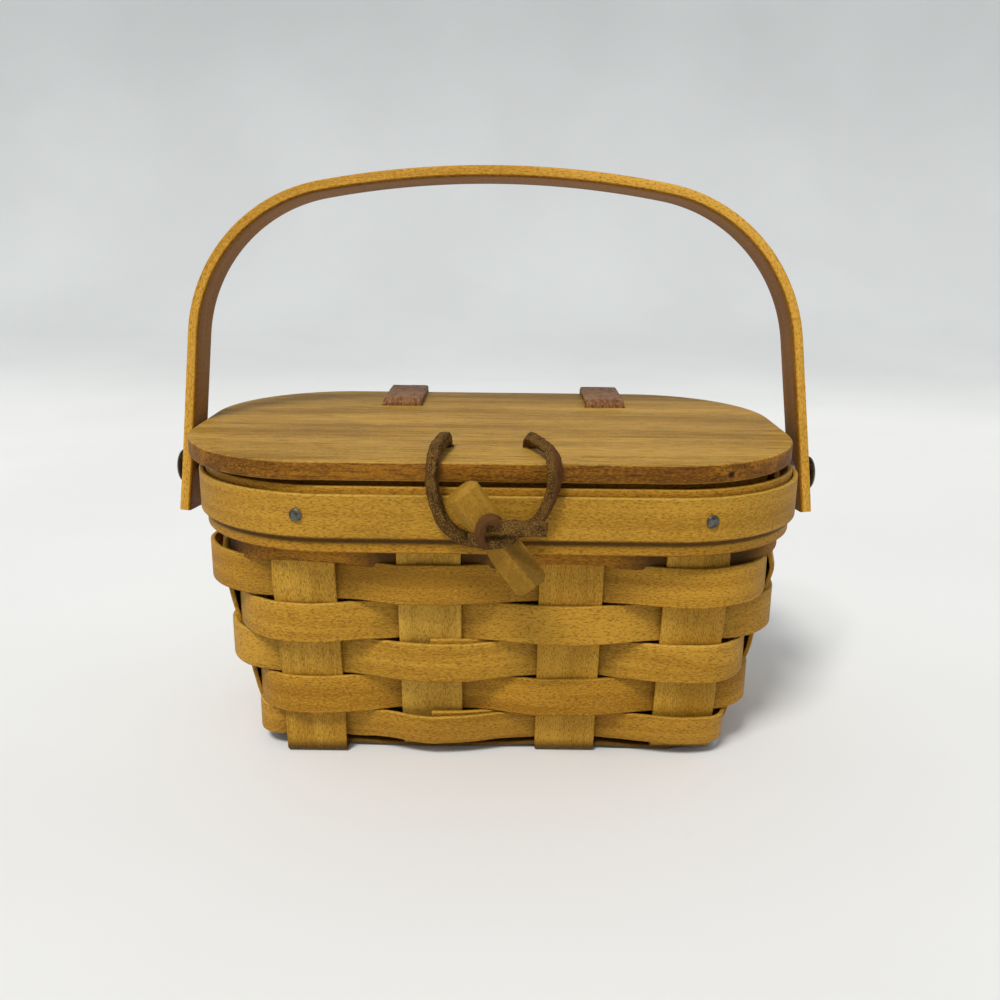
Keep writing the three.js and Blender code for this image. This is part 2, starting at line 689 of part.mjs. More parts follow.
const lidPose = new THREE.Matrix4().compose(
  new THREE.Vector3(LID_SHIFT, 0, lidHeight),
  new THREE.Quaternion().setFromAxisAngle(new THREE.Vector3(1, 0, 0), LID_TILT),
  new THREE.Vector3(1, 1, 1));
const onLid = (x, y, z) => new THREE.Vector3(x, y, z).applyMatrix4(lidPose);

// Hinge strap: both ends tacked to the back of the rim, looped under the lid and up through its slot

// Points of a quarter turn round a corner, in the plane across the hinge.
function quarterTurn(corner, radius, from) {
  const points = [];
  for (let k = 0; k <= STRAP_TURN_STEPS; k++) {
    const angle = from - ((Math.PI / 2) * k) / STRAP_TURN_STEPS;
    const offset = new THREE.Vector3(0, radius * Math.cos(angle), radius * Math.sin(angle));
    points.push(corner.clone().add(offset));
  }
  return points;
}

function strapRoute(x) {
  const gap = STRAP_THICKNESS / 2 + CLEARANCE;
  const place = { side: 2, at: -x };
  const layer = outerBandFace + gap;
  const nextLayer = layer + STRAP_THICKNESS + CLEARANCE;
  const endZ = tackHeight - STRAP_END_DROP;
  const lidX = x - LID_SHIFT;
  const rimCorner = rimPoint(place, outerBandTop, outerBandFace);
  const innerCorner = wallPoint(place, innerBandTop, innerBandFace + INNER_BAND_THICKNESS);
  const slotBack = slotY + gap;
  return [
    rimPoint(place, endZ, layer),
    rimPoint(place, tackHeight, layer),
    ...quarterTurn(rimCorner, gap, Math.PI / 2).reverse(),
    innerCorner.clone().add(new THREE.Vector3(0, gap / 2, gap)),
    innerCorner.clone().add(new THREE.Vector3(0, -2 * gap, gap)),
    ...quarterTurn(onLid(lidX, slotBack, 0), gap, 1.5 * Math.PI),
    ...quarterTurn(onLid(lidX, slotBack, LID_THICKNESS), gap, Math.PI),
    ...quarterTurn(onLid(lidX, lidDepth / 2, LID_THICKNESS), gap, Math.PI / 2),
    rimPoint(place, outerBandTop + gap, nextLayer + CLEARANCE),
    rimPoint(place, tackHeight, nextLayer),
    rimPoint(place, endZ, nextLayer),
  ].map((p) => p.setX(x));
}

function strapGeometry(x) {
  const route = strapRoute(x);
  const half = STRAP_THICKNESS / 2;
  const sections = route.map((point, k) => {
    const before = route[Math.max(0, k - 1)];
    const after = route[Math.min(route.length - 1, k + 1)];
    const tangent = after.clone().sub(before).normalize();
    const normal = new THREE.Vector3(0, -tangent.z, tangent.y).multiplyScalar(half);
    return [[-1, -1], [1, -1], [1, 1], [-1, 1]].map(([wide, deep]) => (
      point.clone().addScaledVector(normal, deep).add(new THREE.Vector3((wide * STRAP_WIDTH) / 2, 0, 0))));
  });
  return cut(loft(sections), [tackHole({ side: 2, at: -x })]);
}

// Closure loop: a lace knotted under the lid, through both holes, over the edge and down behind the peg

const neckPoint = rimPoint(neckPlace, neckHeight, outerBandFace);

function loopBranch(side, skew) {
  const holeX = LACE_HOLE_SPREAD / 2;
  const heights = [-LACE_KNOT_RADIUS - CLEARANCE, LID_THICKNESS / 2];
  const inHole = heights.map((z) => onLid(LACE_HOLE_SHIFT + side * holeX, laceY, z));
  const overLid = LOOP_OVER_LID.map(([outward, forward, up]) => {
    const x = LACE_HOLE_SHIFT + side * (holeX + outward * skew);
    return onLid(x, laceY - forward, LID_THICKNESS + up);
  });
  return [...inHole, ...overLid];
}

function loopRoute() {
  const bight = LOOP_BIGHT.map(([right, ahead, up]) => (
    new THREE.Vector3(right, -ahead, up).add(neckPoint)));
  return [...loopBranch(-1, 1), ...bight, ...loopBranch(1, LOOP_SKEW).reverse()];
}

function knot(centre, radius) {
  return new THREE.SphereGeometry(radius, KNOT_SIDES, KNOT_RINGS).translate(centre.x, centre.y, centre.z);
}

function loopGeometry() {
  const route = loopRoute();
  const curve = new THREE.CatmullRomCurve3(route, false, 'centripetal');
  const ends = [route[0], route.at(-1)].map((p) => knot(p, LACE_KNOT_RADIUS));
  return join([tube(curve, LACE_RADIUS, LOOP_STEPS, LACE_SIDES), ...ends]);
}

// Toggle: a whittled peg in a ring of lace, hung from a neck that passes through the rim

const pegY = neckPoint.y - TOGGLE_ROOM - PEG_RADIUS;
const pegDown = new THREE.Vector3(Math.sin(PEG_TILT), 0, -Math.cos(PEG_TILT));
const waist = new THREE.Vector3(neckPoint.x, pegY, neckHeight);

function pegGeometry() {
  const top = -PEG_WAIST;
  const bottom = PEG_LENGTH - PEG_WAIST;
  const peg = turned([
    [0, top],
    [PEG_RADIUS - PEG_CHAMFER, top],
    [PEG_RADIUS, top + PEG_CHAMFER],
    [PEG_RADIUS, bottom - PEG_CHAMFER],
    [PEG_RADIUS - PEG_CHAMFER, bottom],
    [0, bottom],
  ], waist, pegDown, PEG_SIDES);
  const chisel = new THREE.BoxGeometry(4 * PEG_RADIUS, 2 * PEG_RADIUS, 3 * PEG_CHISEL_LENGTH);
  chisel.translate(0, -PEG_RADIUS, 0).rotateX(-PEG_CHISEL);
  chisel.translate(0, -PEG_RADIUS, PEG_CHISEL_LENGTH - bottom);
  chisel.rotateY(-PEG_TILT).translate(waist.x, waist.y, waist.z);
  return cut(peg, [chisel]);
}

function toggleLace() {
  const inner = PEG_RADIUS + CLEARANCE;
  const outer = inner + RING_THICKNESS;
  const half = LACE_RADIUS;
  const ease = RING_THICKNESS / 3;
  const ring = turned([
    [inner, -half],
    [outer - ease, -half],
    [outer, ease - half],
    [outer, half - ease],
    [outer - ease, half],
    [inner, half],
    [inner, -half],
  ], waist, pegDown, RING_SIDES);
  const stop = wallPoint(neckPlace, neckHeight, innerBandFace - CLEARANCE - LACE_KNOT_RADIUS);
  const ringBack = pegY + inner + RING_THICKNESS / 2;
  const neckMiddle = new THREE.Vector3(waist.x, (stop.y + ringBack) / 2, neckHeight);
  const yAxis = new THREE.Vector3(0, 1, 0);
  const neck = rod(LACE_RADIUS, neckMiddle, yAxis, stop.y - ringBack, LACE_HOLE_SIDES);
  const ringFront = pegY - inner - RING_THICKNESS / 2;
  const tailStart = new THREE.Vector3(waist.x, ringFront - TAIL_KNOT_PROUD, neckHeight);
  const tailPoints = TAIL_ROUTE.map(([right, ahead, up]) => (
    new THREE.Vector3(right, -ahead, up).add(tailStart)));
  const tail = tube(new THREE.CatmullRomCurve3(tailPoints), TAIL_RADIUS, TAIL_STEPS, LACE_SIDES);
  return join([ring, neck, knot(stop, LACE_KNOT_RADIUS), knot(tailStart, LACE_KNOT_RADIUS), tail]);
}

// Assembly

const basketPurse = new THREE.Group();

function add(name, geometry, color, { roughness, metalness }) {
  const material = new THREE.MeshStandardMaterial({ color, roughness, metalness });
  const mesh = new THREE.Mesh(geometry, material);
  mesh.name = name;
  basketPurse.add(mesh);
  return mesh;
}

const lastStake = crossStakeX.length - 1;
const tackedStakes = { 0: 'left', [lastStake]: 'right' };
crossStakeX.forEach((_, index) => {
  const side = tackedStakes[index];
  const corners = side ? [`front_${side}`, `back_${side}`] : [];
  const holes = corners.map((corner) => tackHole(bandTackPlaces[corner]));
  add(`cross_splint_${index + 1}`, cut(crossStake(index), holes), WOOD.stake, WOOD);
});
sideStakeY.forEach((_, index) => add(`length_splint_${index + 1}`, lengthStake(index), WOOD.stake, WOOD));

// The top row is hidden under the bands and closes on itself; the others lap at the back or the front.
const lapStakes = [null, 7, 6, 1, 8, 1];
for (let row = 0; row < ROW_COUNT; row++) {
  const lapStake = lapStakes[row];
  const geometry = lapStake === null ? closedWeaver(row) : lappedWeaver(row, lapStake);
  add(`weaver_row_${row + 1}`, geometry, WOOD.honey, WOOD);
}

const innerBandBottom = innerBandTop - INNER_BAND_HEIGHT;
const bands = {
  inner_band: [innerBandBottom, innerBandTop, innerBandFace, innerBandFace + INNER_BAND_THICKNESS],
  under_band: [
    underBandBottom, outerBandTop, underBandFace - UNDER_BAND_THICKNESS, underBandFace, wallHeight,
  ],
  outer_band: [
    outerBandBottom, outerBandTop, outerBandFace - OUTER_BAND_THICKNESS, outerBandFace, wallHeight,
  ],
};
for (const [name, sizes] of Object.entries(bands)) {
  add(name, cut(bandGeometry(...sizes), rimHoles()), WOOD.band, WOOD);
}

for (const [corner, place] of Object.entries(bandTackPlaces)) {
  add(`band_tack_${corner}`, tackGeometry(place, outerBandFace + CLEARANCE), STEEL.tack, STEEL);
}

for (const [side, sign] of [['left', -1], ['right', 1]]) {
  const washer = washerRing(washerStart, washerEnd, WASHER_RADIUS, sign);
  const burr = washerRing(burrStart, burrEnd, BURR_RADIUS, sign);
  add(`handle_rivet_${side}`, rivetGeometry(sign), LACQUER.rivet, LACQUER);
  add(`handle_washer_${side}`, washer, STEEL.washer, STEEL);
  add(`rivet_burr_${side}`, burr, STEEL.washer, STEEL);
}

const handle = add('handle', handleGeometry(), WOOD.handle, WOOD);
handle.position.set(0, 0, pivotHeight);
handle.rotation.x = -HANDLE_REST_LEAN;

const lid = add('lid', lidGeometry(), WOOD.lid, WOOD);
lid.applyMatrix4(lidPose);

const strapStack = outerBandFace + 2 * (STRAP_THICKNESS + CLEARANCE) + CLEARANCE;
STRAP_X.forEach((x, index) => {
  const side = ['left', 'right'][index];
  add(`hinge_strap_${side}`, strapGeometry(x), LEATHER.strap, LEATHER);
  add(`strap_tack_${side}`, tackGeometry(strapTackPlaces[index], strapStack), STEEL.tack, STEEL);
});

// The origin stands midway between front and back of everything but the lace and its peg.
const middle = new THREE.Box3();
basketPurse.children.forEach((mesh) => middle.expandByObject(mesh, true));
basketPurse.position.y = -(middle.min.y + middle.max.y) / 2;

add('closure_loop', loopGeometry(), LEATHER.lace, LEATHER);
add('toggle_lace', toggleLace(), LEATHER.lace, LEATHER);
add('toggle_peg', pegGeometry(), WOOD.peg, WOOD);

export default basketPurse;
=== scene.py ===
from math import asin, atan, copysign, cos, exp, inf, pi, radians, sin, sqrt, tan

import bmesh
import bpy
import numpy as np
from mathutils import Matrix, Vector, geometry, noise


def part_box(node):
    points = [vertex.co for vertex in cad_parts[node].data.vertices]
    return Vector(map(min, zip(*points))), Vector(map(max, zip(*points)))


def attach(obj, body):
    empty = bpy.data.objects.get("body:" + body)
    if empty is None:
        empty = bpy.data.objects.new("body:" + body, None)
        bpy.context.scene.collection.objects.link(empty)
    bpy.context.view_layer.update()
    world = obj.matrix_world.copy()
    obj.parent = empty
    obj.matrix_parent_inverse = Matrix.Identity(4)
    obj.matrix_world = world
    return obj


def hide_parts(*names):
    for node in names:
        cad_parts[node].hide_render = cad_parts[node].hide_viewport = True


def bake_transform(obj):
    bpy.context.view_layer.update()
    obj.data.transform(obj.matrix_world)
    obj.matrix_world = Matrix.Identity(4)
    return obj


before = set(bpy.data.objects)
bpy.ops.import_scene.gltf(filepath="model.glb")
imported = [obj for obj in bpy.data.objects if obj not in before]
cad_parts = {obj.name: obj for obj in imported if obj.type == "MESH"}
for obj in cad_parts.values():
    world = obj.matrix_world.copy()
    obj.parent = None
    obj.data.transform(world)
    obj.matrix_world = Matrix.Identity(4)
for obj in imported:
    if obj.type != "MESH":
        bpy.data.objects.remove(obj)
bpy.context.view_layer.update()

# Lengths are in millimetres from the middle of the basket's base, until a mesh is made
MM = 0.001

# The wall, measured on the middle of the upright stakes
BASE_WIDTH = 124.4
BASE_DEPTH = 56.8
MOUTH_DEPTH = 87.5
WALL_HEIGHT = 78.7

# Corner radius by height, and how much of the two ends' belly stands out at each height
CORNER_KNOTS = [(0, 3.5), (7, 6.5), (18.6, 16), (30, 19), (42, 24), (53, 26), (63.8, 33), (78.7, 37)]
RIGHT_CORNER_EASE = 0.93
BELLY_KNOTS = [
    (0, 0), (7, 0.12), (18.6, 0.65), (30, 0.84), (42, 0.97), (53, 1), (59, 0.6), (63.8, 0.1), (66, 0),
]
BELLY_LEFT = 4.1
BELLY_RIGHT = 4.4

# Splints: a tone above 1 is darker, and a mark is a share of the darkening colour
CLEARANCE = 0.3
SPLINT_THICKNESS = 1.2
SPLINT_EDGE = 0.32
EDGE_TONE_REACH = 0.9
# Painted highlight on the upper edges of splints and bands, painted shade on their lower edges
TOP_EDGE_HIGHLIGHT = 0.8
LOW_EDGE_SHADE = 1.35
TONE_RANGE = 0.15

# Stakes: their places along the walls, one foot's bow by height and every foot's painted shade by height
CROSS_X = [-49.2, -16.9, 19.7, 52.0]
SIDE_Y = [-15.0, 15.0]
STAKE_WIDTH = 16.5
STAKE_BEND = 1.5
STAKE_BOW = 0.3
STAKE_BOW_TOP = 59.25
STAKE_TONE = 0.97
FOOT_BOW_KNOTS = [(0, 2.4), (14, 0)]
FOOT_BOW_STAKE = 0
FOOT_SHADE_KNOTS = [(2.6, 0.8), (3.4, 0)]
BASE_SPREAD = 0.55
BASE_SPREAD_RUN = 12.0

# Weavers: rows are counted from the top, and the ends of each lap past one stake
ROW_COUNT = 6
ROW_PITCH = 11.55
FIRST_ROW = 1.7
WEAVER_HEIGHT = 10.7
ROW_LIFTS = [0, 0, 0, 0.1, 0.5, 0.9]
# Painted shade: the top row's tone is darker where it lies under the bands, and rows take a share of the
# darkening colour where they pass inside the stakes
ROW_TONES = [1.4, 1.12, 1.05, 1.05, 1.08, 1.1]
ROW_INSIDE_SHADE = 0.32
ROW_WAVE = 0.44
ROW_WAVE_RATE = 45 / 14
OPEN_SWING = 2.58
HIDDEN_SWING = 1.5
TOP_ROW_DROP = 2.1
# Painted shade over the top row under the bands, growing as the row turns inside
TOP_ROW_SHADE = 0.9
TOP_ROW_SHADE_FROM = 0.6
BOTTOM_ROW_LEAN = 0.28
BOTTOM_ROW_GRIP = 0.6
BOTTOM_ROW_TRIM = 0.24
LAP_STAKES = [6, 7, 6, 1, 8, 1]
LAP_STEP = 1.4
LAP_EASE = 0.5
LAP_LIFT = 1.0
LAP_LIFT_SPANS = 0.85

# Rim bands: bottom, top, inner face and outer face
RIM_FACE = 5.2
INNER_BAND_TOP = 81.2
INNER_BAND_INSIDE = -3.9
INNER_BAND_OUTSIDE = -2.4
OUTER_BAND = (67.6, WALL_HEIGHT, 3.9, RIM_FACE)
UNDER_BAND = (63.5, WALL_HEIGHT, 2.4, 3.6)
INNER_BAND = (65.2, INNER_BAND_TOP, INNER_BAND_INSIDE, INNER_BAND_OUTSIDE)
OUTER_BAND_TONE = 1.0
UNDER_BAND_TONE = 1.12
INNER_BAND_TONE = 1.2
BAND_EDGE = 0.45
BAND_SEAM = 0.012
BAND_SEAM_STAKE = 7
FRONT_LIP = 1.8
FRONT_LIP_REACH = 20.0
# A line of painted shade on the under band, just below the outer band: its heights and its share of the
# darkening colour
SHADE_LINE = (66.3, 67.5)
SHADE_LINE_SHARE = 0.85

# Handle and its pivots: a head is a radius, a height and a lip, and a tail is radii and heights
PIVOT_HEIGHT = 74.55
LEG_X = 88.04
HANDLE_WIDTH = 12.7
HANDLE_THICKNESS = 3.1
HANDLE_EDGE = 0.75
LEG_LEAN = radians(5.5)
LEG_LENGTH = 38.2
LEFT_FOOT_LENGTH = 12.2
RIGHT_FOOT_LENGTH = 10.6
HANDLE_RADIUS = 45.0
HANDLE_TURN = radians(74)
HANDLE_DRIFT = 1.2
HANDLE_SHIFT = -0.5
HANDLE_REST_LEAN = radians(5.5)
HANDLE_INNER_DEPTH = 1.0
HANDLE_INNER_TONE = 1.3
HANDLE_INNER_DARKENING = 0.55
RIVET_RADIUS = 1.6
RIVET_HEAD_HEIGHT = 2.0
RIVET_HEAD = (4.75, RIVET_HEAD_HEIGHT, 0.5)
RIVET_TAIL = [(0, 0), (1.68, 0), (2.4, 0.4), (2.4, 0.8), (RIVET_RADIUS, 0.8)]
WASHER_RADIUS = 3.5
WASHER_EASE = 0.25
BURR_RADIUS = 4.0

# Tacks
TACK_HEIGHT = 73.45
LEFT_TACK_SHIFT = 1.9
RIGHT_TACK_SHIFT = 0.6
RIGHT_TACK_DROP = 0.6
TACK_RADIUS = 0.65
TACK_HEAD = (1.65, 0.8, 0.2)
TACK_GAP = 0.1

# Lid and its straps; a section is a width, a thickness, the radius of its edges and the steps across
LID_WIDTH = 164.3
LID_DEPTH = 96.7
LID_THICKNESS = 4.8
LID_CORNER = 37.5
LID_EDGE = 0.7
LID_SHIFT = -1.9
LID_TILT = radians(1.95)
LID_HEIGHT = 83.645
LID_EDGE_TONE = 1.6
STRAP_X = [-30.0, 33.0]
STRAP_WIDTH = 12.0
STRAP_THICKNESS = 2.0
STRAP_SECTION = (STRAP_WIDTH, STRAP_THICKNESS, 0.6, 8)
STRAP_ROUGH = 0.12
STRAP_SLOT_INSET = 24.0
STRAP_END_DROP = 6.0
STRAP_BLEND_START = (0, 50.0, 79.2)
STRAP_BLEND_END = (0, 44.5, 84.7)

# Lace loop, and two places given ahead of its holes and above the lid's underside
LACE_WIDTH = 3.2
LACE_THICKNESS = 2.7
LACE_SECTION = (LACE_WIDTH, LACE_THICKNESS, 0.55, 3)
LACE_ROUGH = 0.22
LACE_TWIST = radians(-48)
LACE_TWIST_FROM = 0.5
LACE_TWIST_RUN = 0.25
LACE_FACE_SHARE = 0.35
LACE_END_HEIGHT = -1.5
LACE_HOLE_SPREAD = 21.3
LACE_HOLE_SHIFT = -0.1
LACE_HOLE_INSET = 17.5
LACE_HOLE_RADIUS = 1.9
LOOP_BLEND_START = (-0.5, 8.0)
LOOP_BLEND_END = (6.0, 8.0)
KNOT_HEIGHT = -2.8
KNOT_SCALE = 0.62
KNOT_RISE = 1.2
KNOT_SECTION = (2.1, 2.1, 0.84, 2)
KNOT_ROUGH = 0.15
KNOT_ACROSS = (0.3, 0.9, 0.2)

# The lace's route: over the lid outward, forward and up, then the bight right, ahead and up
LOOP_OVER_LID = [(0, 0.2, 1), (0.2, 3, 2.7), (1.2, 9.5, 2.7), (1.9, 15.5, 2.2), (2.1, 19.7, 0.4)]
LOOP_SKEW = 2.55
LOOP_BIGHT = [
    (-14, 2.2, 8.85), (-13.4, 2.1, 4.65), (-11.2, 2, -1.35), (-6.4, 2, -5.35), (0, 2, -5.9),
    (6.4, 2, -3.6), (11.2, 2, -0.9), (14, 2.1, 4.05), (15.2, 2.2, 8.85),
]

# Toggle peg, and its knife cuts: the way each faces, its depth as a share of the radius, and its painted
# shade
PEG_RADIUS = 4.25
PEG_LENGTH = 29.8
PEG_WAIST = 9.6
PEG_CHAMFER = 1.2
PEG_TILT = radians(36)
PEG_CHISEL = radians(20)
PEG_CHISEL_LENGTH = 11.0
PEG_SHIFT = (-1.4, 0, 0.7)
PEG_SHARP_ANGLE = radians(25)
PEG_WHITTLE = 0.22
PEG_WHITTLE_TURN = 3.0
PEG_WHITTLE_RATE = 0.12
WAIST_DEPTH = 0.8
WAIST_REACH = 2.6
PARED_FROM = 4.0
PARED_RUN = 5.0
PARED_SPREAD = 0.3
# The second cut faces away from the lamp and carries painted shade
PARED_FACES = [(radians(-112), 0.2, 0.0), (radians(-42), 0.22, 0.4)]

# Toggle lace: its neck through the rim and its ring round the peg
NECK_X = -1.0
NECK_HEIGHT = 74.25
NECK_SECTION = (3.0, LACE_THICKNESS, 0.55, 3)
NECK_START = 1.0
NECK_STOP = 2.2
TOGGLE_ROUGH = 0.15
TOGGLE_ROOM = 4.2
RING_THICKNESS = 2.2
RING_SECTION = (2.7, RING_THICKNESS, 0.85, 3)
RING_RADIUS = 4.9
RING_ROUGH = 0.2
RING_DROP = 3.8
RING_TILT = radians(4)
RING_NOD = radians(10)

# The toggle's front curl and tail: right of the neck, ahead of the ring and above the neck
CURL_ROUTE = [
    (2.6, -0.4, 1.6), (1.5, 0.6, 2.9), (0.2, 0.9, 3.3), (-1.2, 0.9, 2.7), (-2, 0.9, 1.1), (-2.2, 0.7, -0.7),
    (-1.9, 0.2, -2.2), (-1.3, -0.6, -3.4),
]
CURL_SECTION = (2.8, 1.6, 0.6, 3)
CURL_ROUGH = 0.08
CURL_ACROSS = (0.5, 0, -1)
TAIL_ROUTE = [(-0.6, -0.6, 1.4), (4.3, 0.5, 1.3), (9, 0.3, 1.0), (13.1, -0.3, 0.75)]
TAIL_SECTION = (3.4, 1.7, 0.3, 4)

# Mesh steps: counts, and spacings along a path
SPAN_STEPS = 16
CORNER_SPAN_STEPS = 30
ACROSS_STEPS = 6
BAND_ACROSS_STEPS = 24
HANDLE_ACROSS_STEPS = 8
EDGE_STEPS = 3
ROUND_SIDES = 48
BEND_STEPS = 6
FLAT_STEPS = 10
DOME_STEPS = 8
LID_CORNER_STEPS = 22
LID_EDGE_STEPS = 4
KNOT_STEPS = 60
PEG_RINGS = 70
SWEEP_STEPS = 16
UPRIGHT_SPACING = 1.2
HANDLE_SPACING = 1.5
STRAP_SPACING = 0.8
LACE_SPACING = 0.5
WELD_DISTANCE = 1e-4
SHARP_ANGLE = radians(40)

# Steady variation from a piece's name
SEED_COUNT = 97
GRAIN_STRIDE = (61.0, 7.3, 3.1)
CHANCE_STRIDE = 3.17
CHANCE_SHIFT = 0.37
CHANCE_PLANE = 0.53
ROUGH_RATE = 0.9

# Wood: noise scales along and across the grain per millimetre, the noise's used ranges, and the darkening
# colour
WOOD_SHEEN = 0.15
WOOD_ROUGHNESS = (0.5, 0.7)
WOOD_RELIEF = 0.08
DRIFT_SCALE = (0.012, 0.07, 0.07)
STREAK_SCALE = (0.02, 0.4, 0.4)
STREAK_BEND = 0.5
FIBRE_SCALE = (1.0, 2.6, 2.6)
FLECK_SCALE = (1.0, 3.0, 3.0)
FLECK_SHARE = 0.6
FLECK_DEPTH = 0.6
BODY_SHARES = (0.35, 0.3, 0.35)
BODY_RANGE = (0.4, 0.6)
FLECK_RANGE = (0.49, 0.67)
WIDE_RANGE = (0.3, 0.7)
# Marks darken wood towards this colour: painted shade on the stakes' feet, the rows, a line on the under band
# and a facet of the peg, and the handle's darker inner face
DARKENING_COLOUR = (0.05, 0.021, 0.002)

# A small dark knot on the lid's front edge: its place on the lid, radii, strength and colour
SPOT_PLACE = (59.1, -45.3, 1.9)
SPOT_RADII = (0.39, 1.3)
SPOT_SHARE = 0.85
SPOT_COLOUR = (0.05, 0.018, 0.003)

# Leather and metal
LEATHER_SHEEN = 0.12
PATCH_SCALE = (0.25, 0.5, 0.5)
PATCH_RANGE = (0.35, 0.65)
NAP_SCALE = (1.6, 2.4, 2.4)
NAP_RANGE = (0.5, 0.64)
CREASE_SCALE = (0.5, 3.0, 3.0)
CREASE_SHADE = 0.6
SMOOTH_FACE_EASE = 0.8
CLOUD_SCALE = (0.8, 0.8, 0.8)
SCRATCH_SCALE = (6.0, 6.0, 1.5)

# Stage: a pale sweep of paper, a soft lamp, even light all round and the camera at the photograph's view
SWEEP_REACH = 3000.0
SWEEP_BACK = 900.0
SWEEP_RADIUS = 500.0
FLOOR_COLOUR = (0.83, 0.83, 0.815)
# The backdrop's colour is painted shade, blended in behind the basket from BACKDROP_START to BACKDROP_FULL
BACKDROP_SHADE_COLOUR = (0.57, 0.585, 0.585)
BACKDROP_START = 450.0
BACKDROP_FULL = 1050.0
PAPER_SCALE = (0.004, 0.004, 0.004)
PAPER_SHADES = (0.97, 1.03)
PAPER_ROUGHNESS = 0.9
WORLD_COLOUR = (0.93, 0.96, 1.0)
WORLD_STRENGTH = 0.5
KEY_FROM = (-0.25, -0.5, 0.82)
KEY_ANGLE = radians(15)
KEY_STRENGTH = 2.15
KEY_COLOUR = (1.0, 0.985, 0.955)
CAMERA_PLACE = (2.9, -270.3, 135.5)
CAMERA_YAW = radians(-0.43)
CAMERA_PITCH = radians(14.58)
CAMERA_ROLL = radians(0.58)
CAMERA_LENS = 34.2
SENSOR_WIDTH = 36.0

# The basket's middle stands a little off the frame's origin, so it is read from the rim
rim_low, rim_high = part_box("outer_band")
MIDDLE = np.array((0, (rim_low.y + rim_high.y) / 2, 0)) / MM

QUADRANTS = ((1, 1), (-1, 1), (-1, -1), (1, -1))
ENDS = (("left", -1), ("right", 1))
FRONT, RIGHT, BACK, LEFT = range(4)


# Helpers: numbers and directions

def to_frame(point):
    return Vector((np.array(point) + MIDDLE) * MM)


def clamp(value):
    return np.clip(value, 0, 1)


def by_height(knots, z):
    """The value at a height, from pairs of a height and a value."""
    return float(np.interp(z, *zip(*knots)))


def turns_of(count):
    return [2 * pi * k / count for k in range(count)]


def turn_to(axis):
    return Vector((0, 0, 1)).rotation_difference(Vector(axis)).to_matrix()


def upright(point, z):
    return Vector((point.x, point.y, z))


def seed_of(name):
    return sum(map(ord, name)) % SEED_COUNT


def grain_offset(name):
    """Where a piece's grain lies, so that pieces don't show the same figure."""
    return seed_of(name) * np.array(GRAIN_STRIDE)


def own_tone(name, tone):
    """A tone a little lighter or darker, the same each time for a name."""
    place = Vector((seed_of(name) * CHANCE_STRIDE + CHANCE_SHIFT, 0, CHANCE_PLANE))
    return tone + TONE_RANGE * noise.noise(place)


# Helpers: meshes from rings of points

def build(name, points, faces, grain=None, tone=1.0, mark=0.0, flat=(), sharp=SHARP_ANGLE):
    """A mesh with its grain's place, tone and mark on each point; flat lists the faces shaded flat."""
    mesh = bpy.data.meshes.new(name)
    mesh.from_pydata([to_frame(p) for p in points], [], faces)
    stored = np.array(points if grain is None else grain, float) + grain_offset(name)
    mesh.attributes.new("grain", "FLOAT_VECTOR", "POINT").data.foreach_set("vector", stored.ravel())
    for kind, value in (("tone", tone), ("mark", mark)):
        values = np.broadcast_to(np.asarray(value, float), len(points)).copy()
        mesh.attributes.new(kind, "FLOAT", "POINT").data.foreach_set("value", values)
    shades = np.ones(len(faces), bool)
    shades[list(flat)] = False
    mesh.polygons.foreach_set("use_smooth", shades)
    work = bmesh.new()
    work.from_mesh(mesh)
    bmesh.ops.remove_doubles(work, verts=work.verts, dist=WELD_DISTANCE * MM)
    bmesh.ops.recalc_face_normals(work, faces=work.faces)
    work.to_mesh(mesh)
    work.free()
    mesh.set_sharp_from_angle(angle=sharp)
    piece = bpy.data.objects.new(name, mesh)
    bpy.context.scene.collection.objects.link(piece)
    return piece


def ring_faces(count, size, closed=False):
    faces = []
    for i in range(count if closed else count - 1):
        here, there = i * size, (i + 1) % count * size
        for j in range(size):
            k = (j + 1) % size
            faces.append((here + j, there + j, there + k, here + k))
    if not closed:
        last = (count - 1) * size
        faces += [tuple(range(size)), tuple(range(last, last + size))]
    return faces


def outline_of(width, thickness, edge, across_steps=ACROSS_STEPS, edge_steps=EDGE_STEPS):
    """Points (across, deep) round a section with rounded edges, with steps across its two wide faces."""
    points = []
    reach, depth = width / 2 - edge, thickness / 2 - edge
    for k, (across, deep) in enumerate(QUADRANTS):
        for step in range(edge_steps + 1):
            angle = (k + step / edge_steps) * pi / 2
            points.append((across * reach + edge * cos(angle), deep * depth + edge * sin(angle)))
        if k % 2 == 0:
            for step in range(1, across_steps):
                slide = 1 - 2 * step / across_steps
                points.append((across * reach * slide, deep * thickness / 2))
    return points


def lit_edge_tones(outline, width, edge, tone):
    """A strip's upper edge gets a painted highlight, where it catches the light, and its lower edge painted
    shade.
    """
    across = np.array(outline)[:, 0]
    face = width / 2 - edge * EDGE_TONE_REACH
    return tone * np.select([across > face, across < -face], [TOP_EDGE_HIGHLIGHT, LOW_EDGE_SHADE], 1.0)


def strip(name, stations, outline, place, tone, mark):
    """A strip swept through stations; place(station, across, deep) gives each point of its section.

    Tone and mark are numbers, one number for each point of the outline, or a column of one for each station.
    """
    rings = np.array([[place(s, across, deep) for across, deep in outline] for s in stations])
    middles = rings.mean(axis=1)
    along = np.concatenate(([0], np.cumsum(np.linalg.norm(np.diff(middles, axis=0), axis=1))))
    grain = [(a, across, deep) for a in along for across, deep in outline]
    faces = ring_faces(len(stations), len(outline))
    looks = [np.broadcast_to(value, (len(stations), len(outline))).ravel() for value in (tone, mark)]
    return build(name, rings.reshape(-1, 3), faces, grain, *looks)


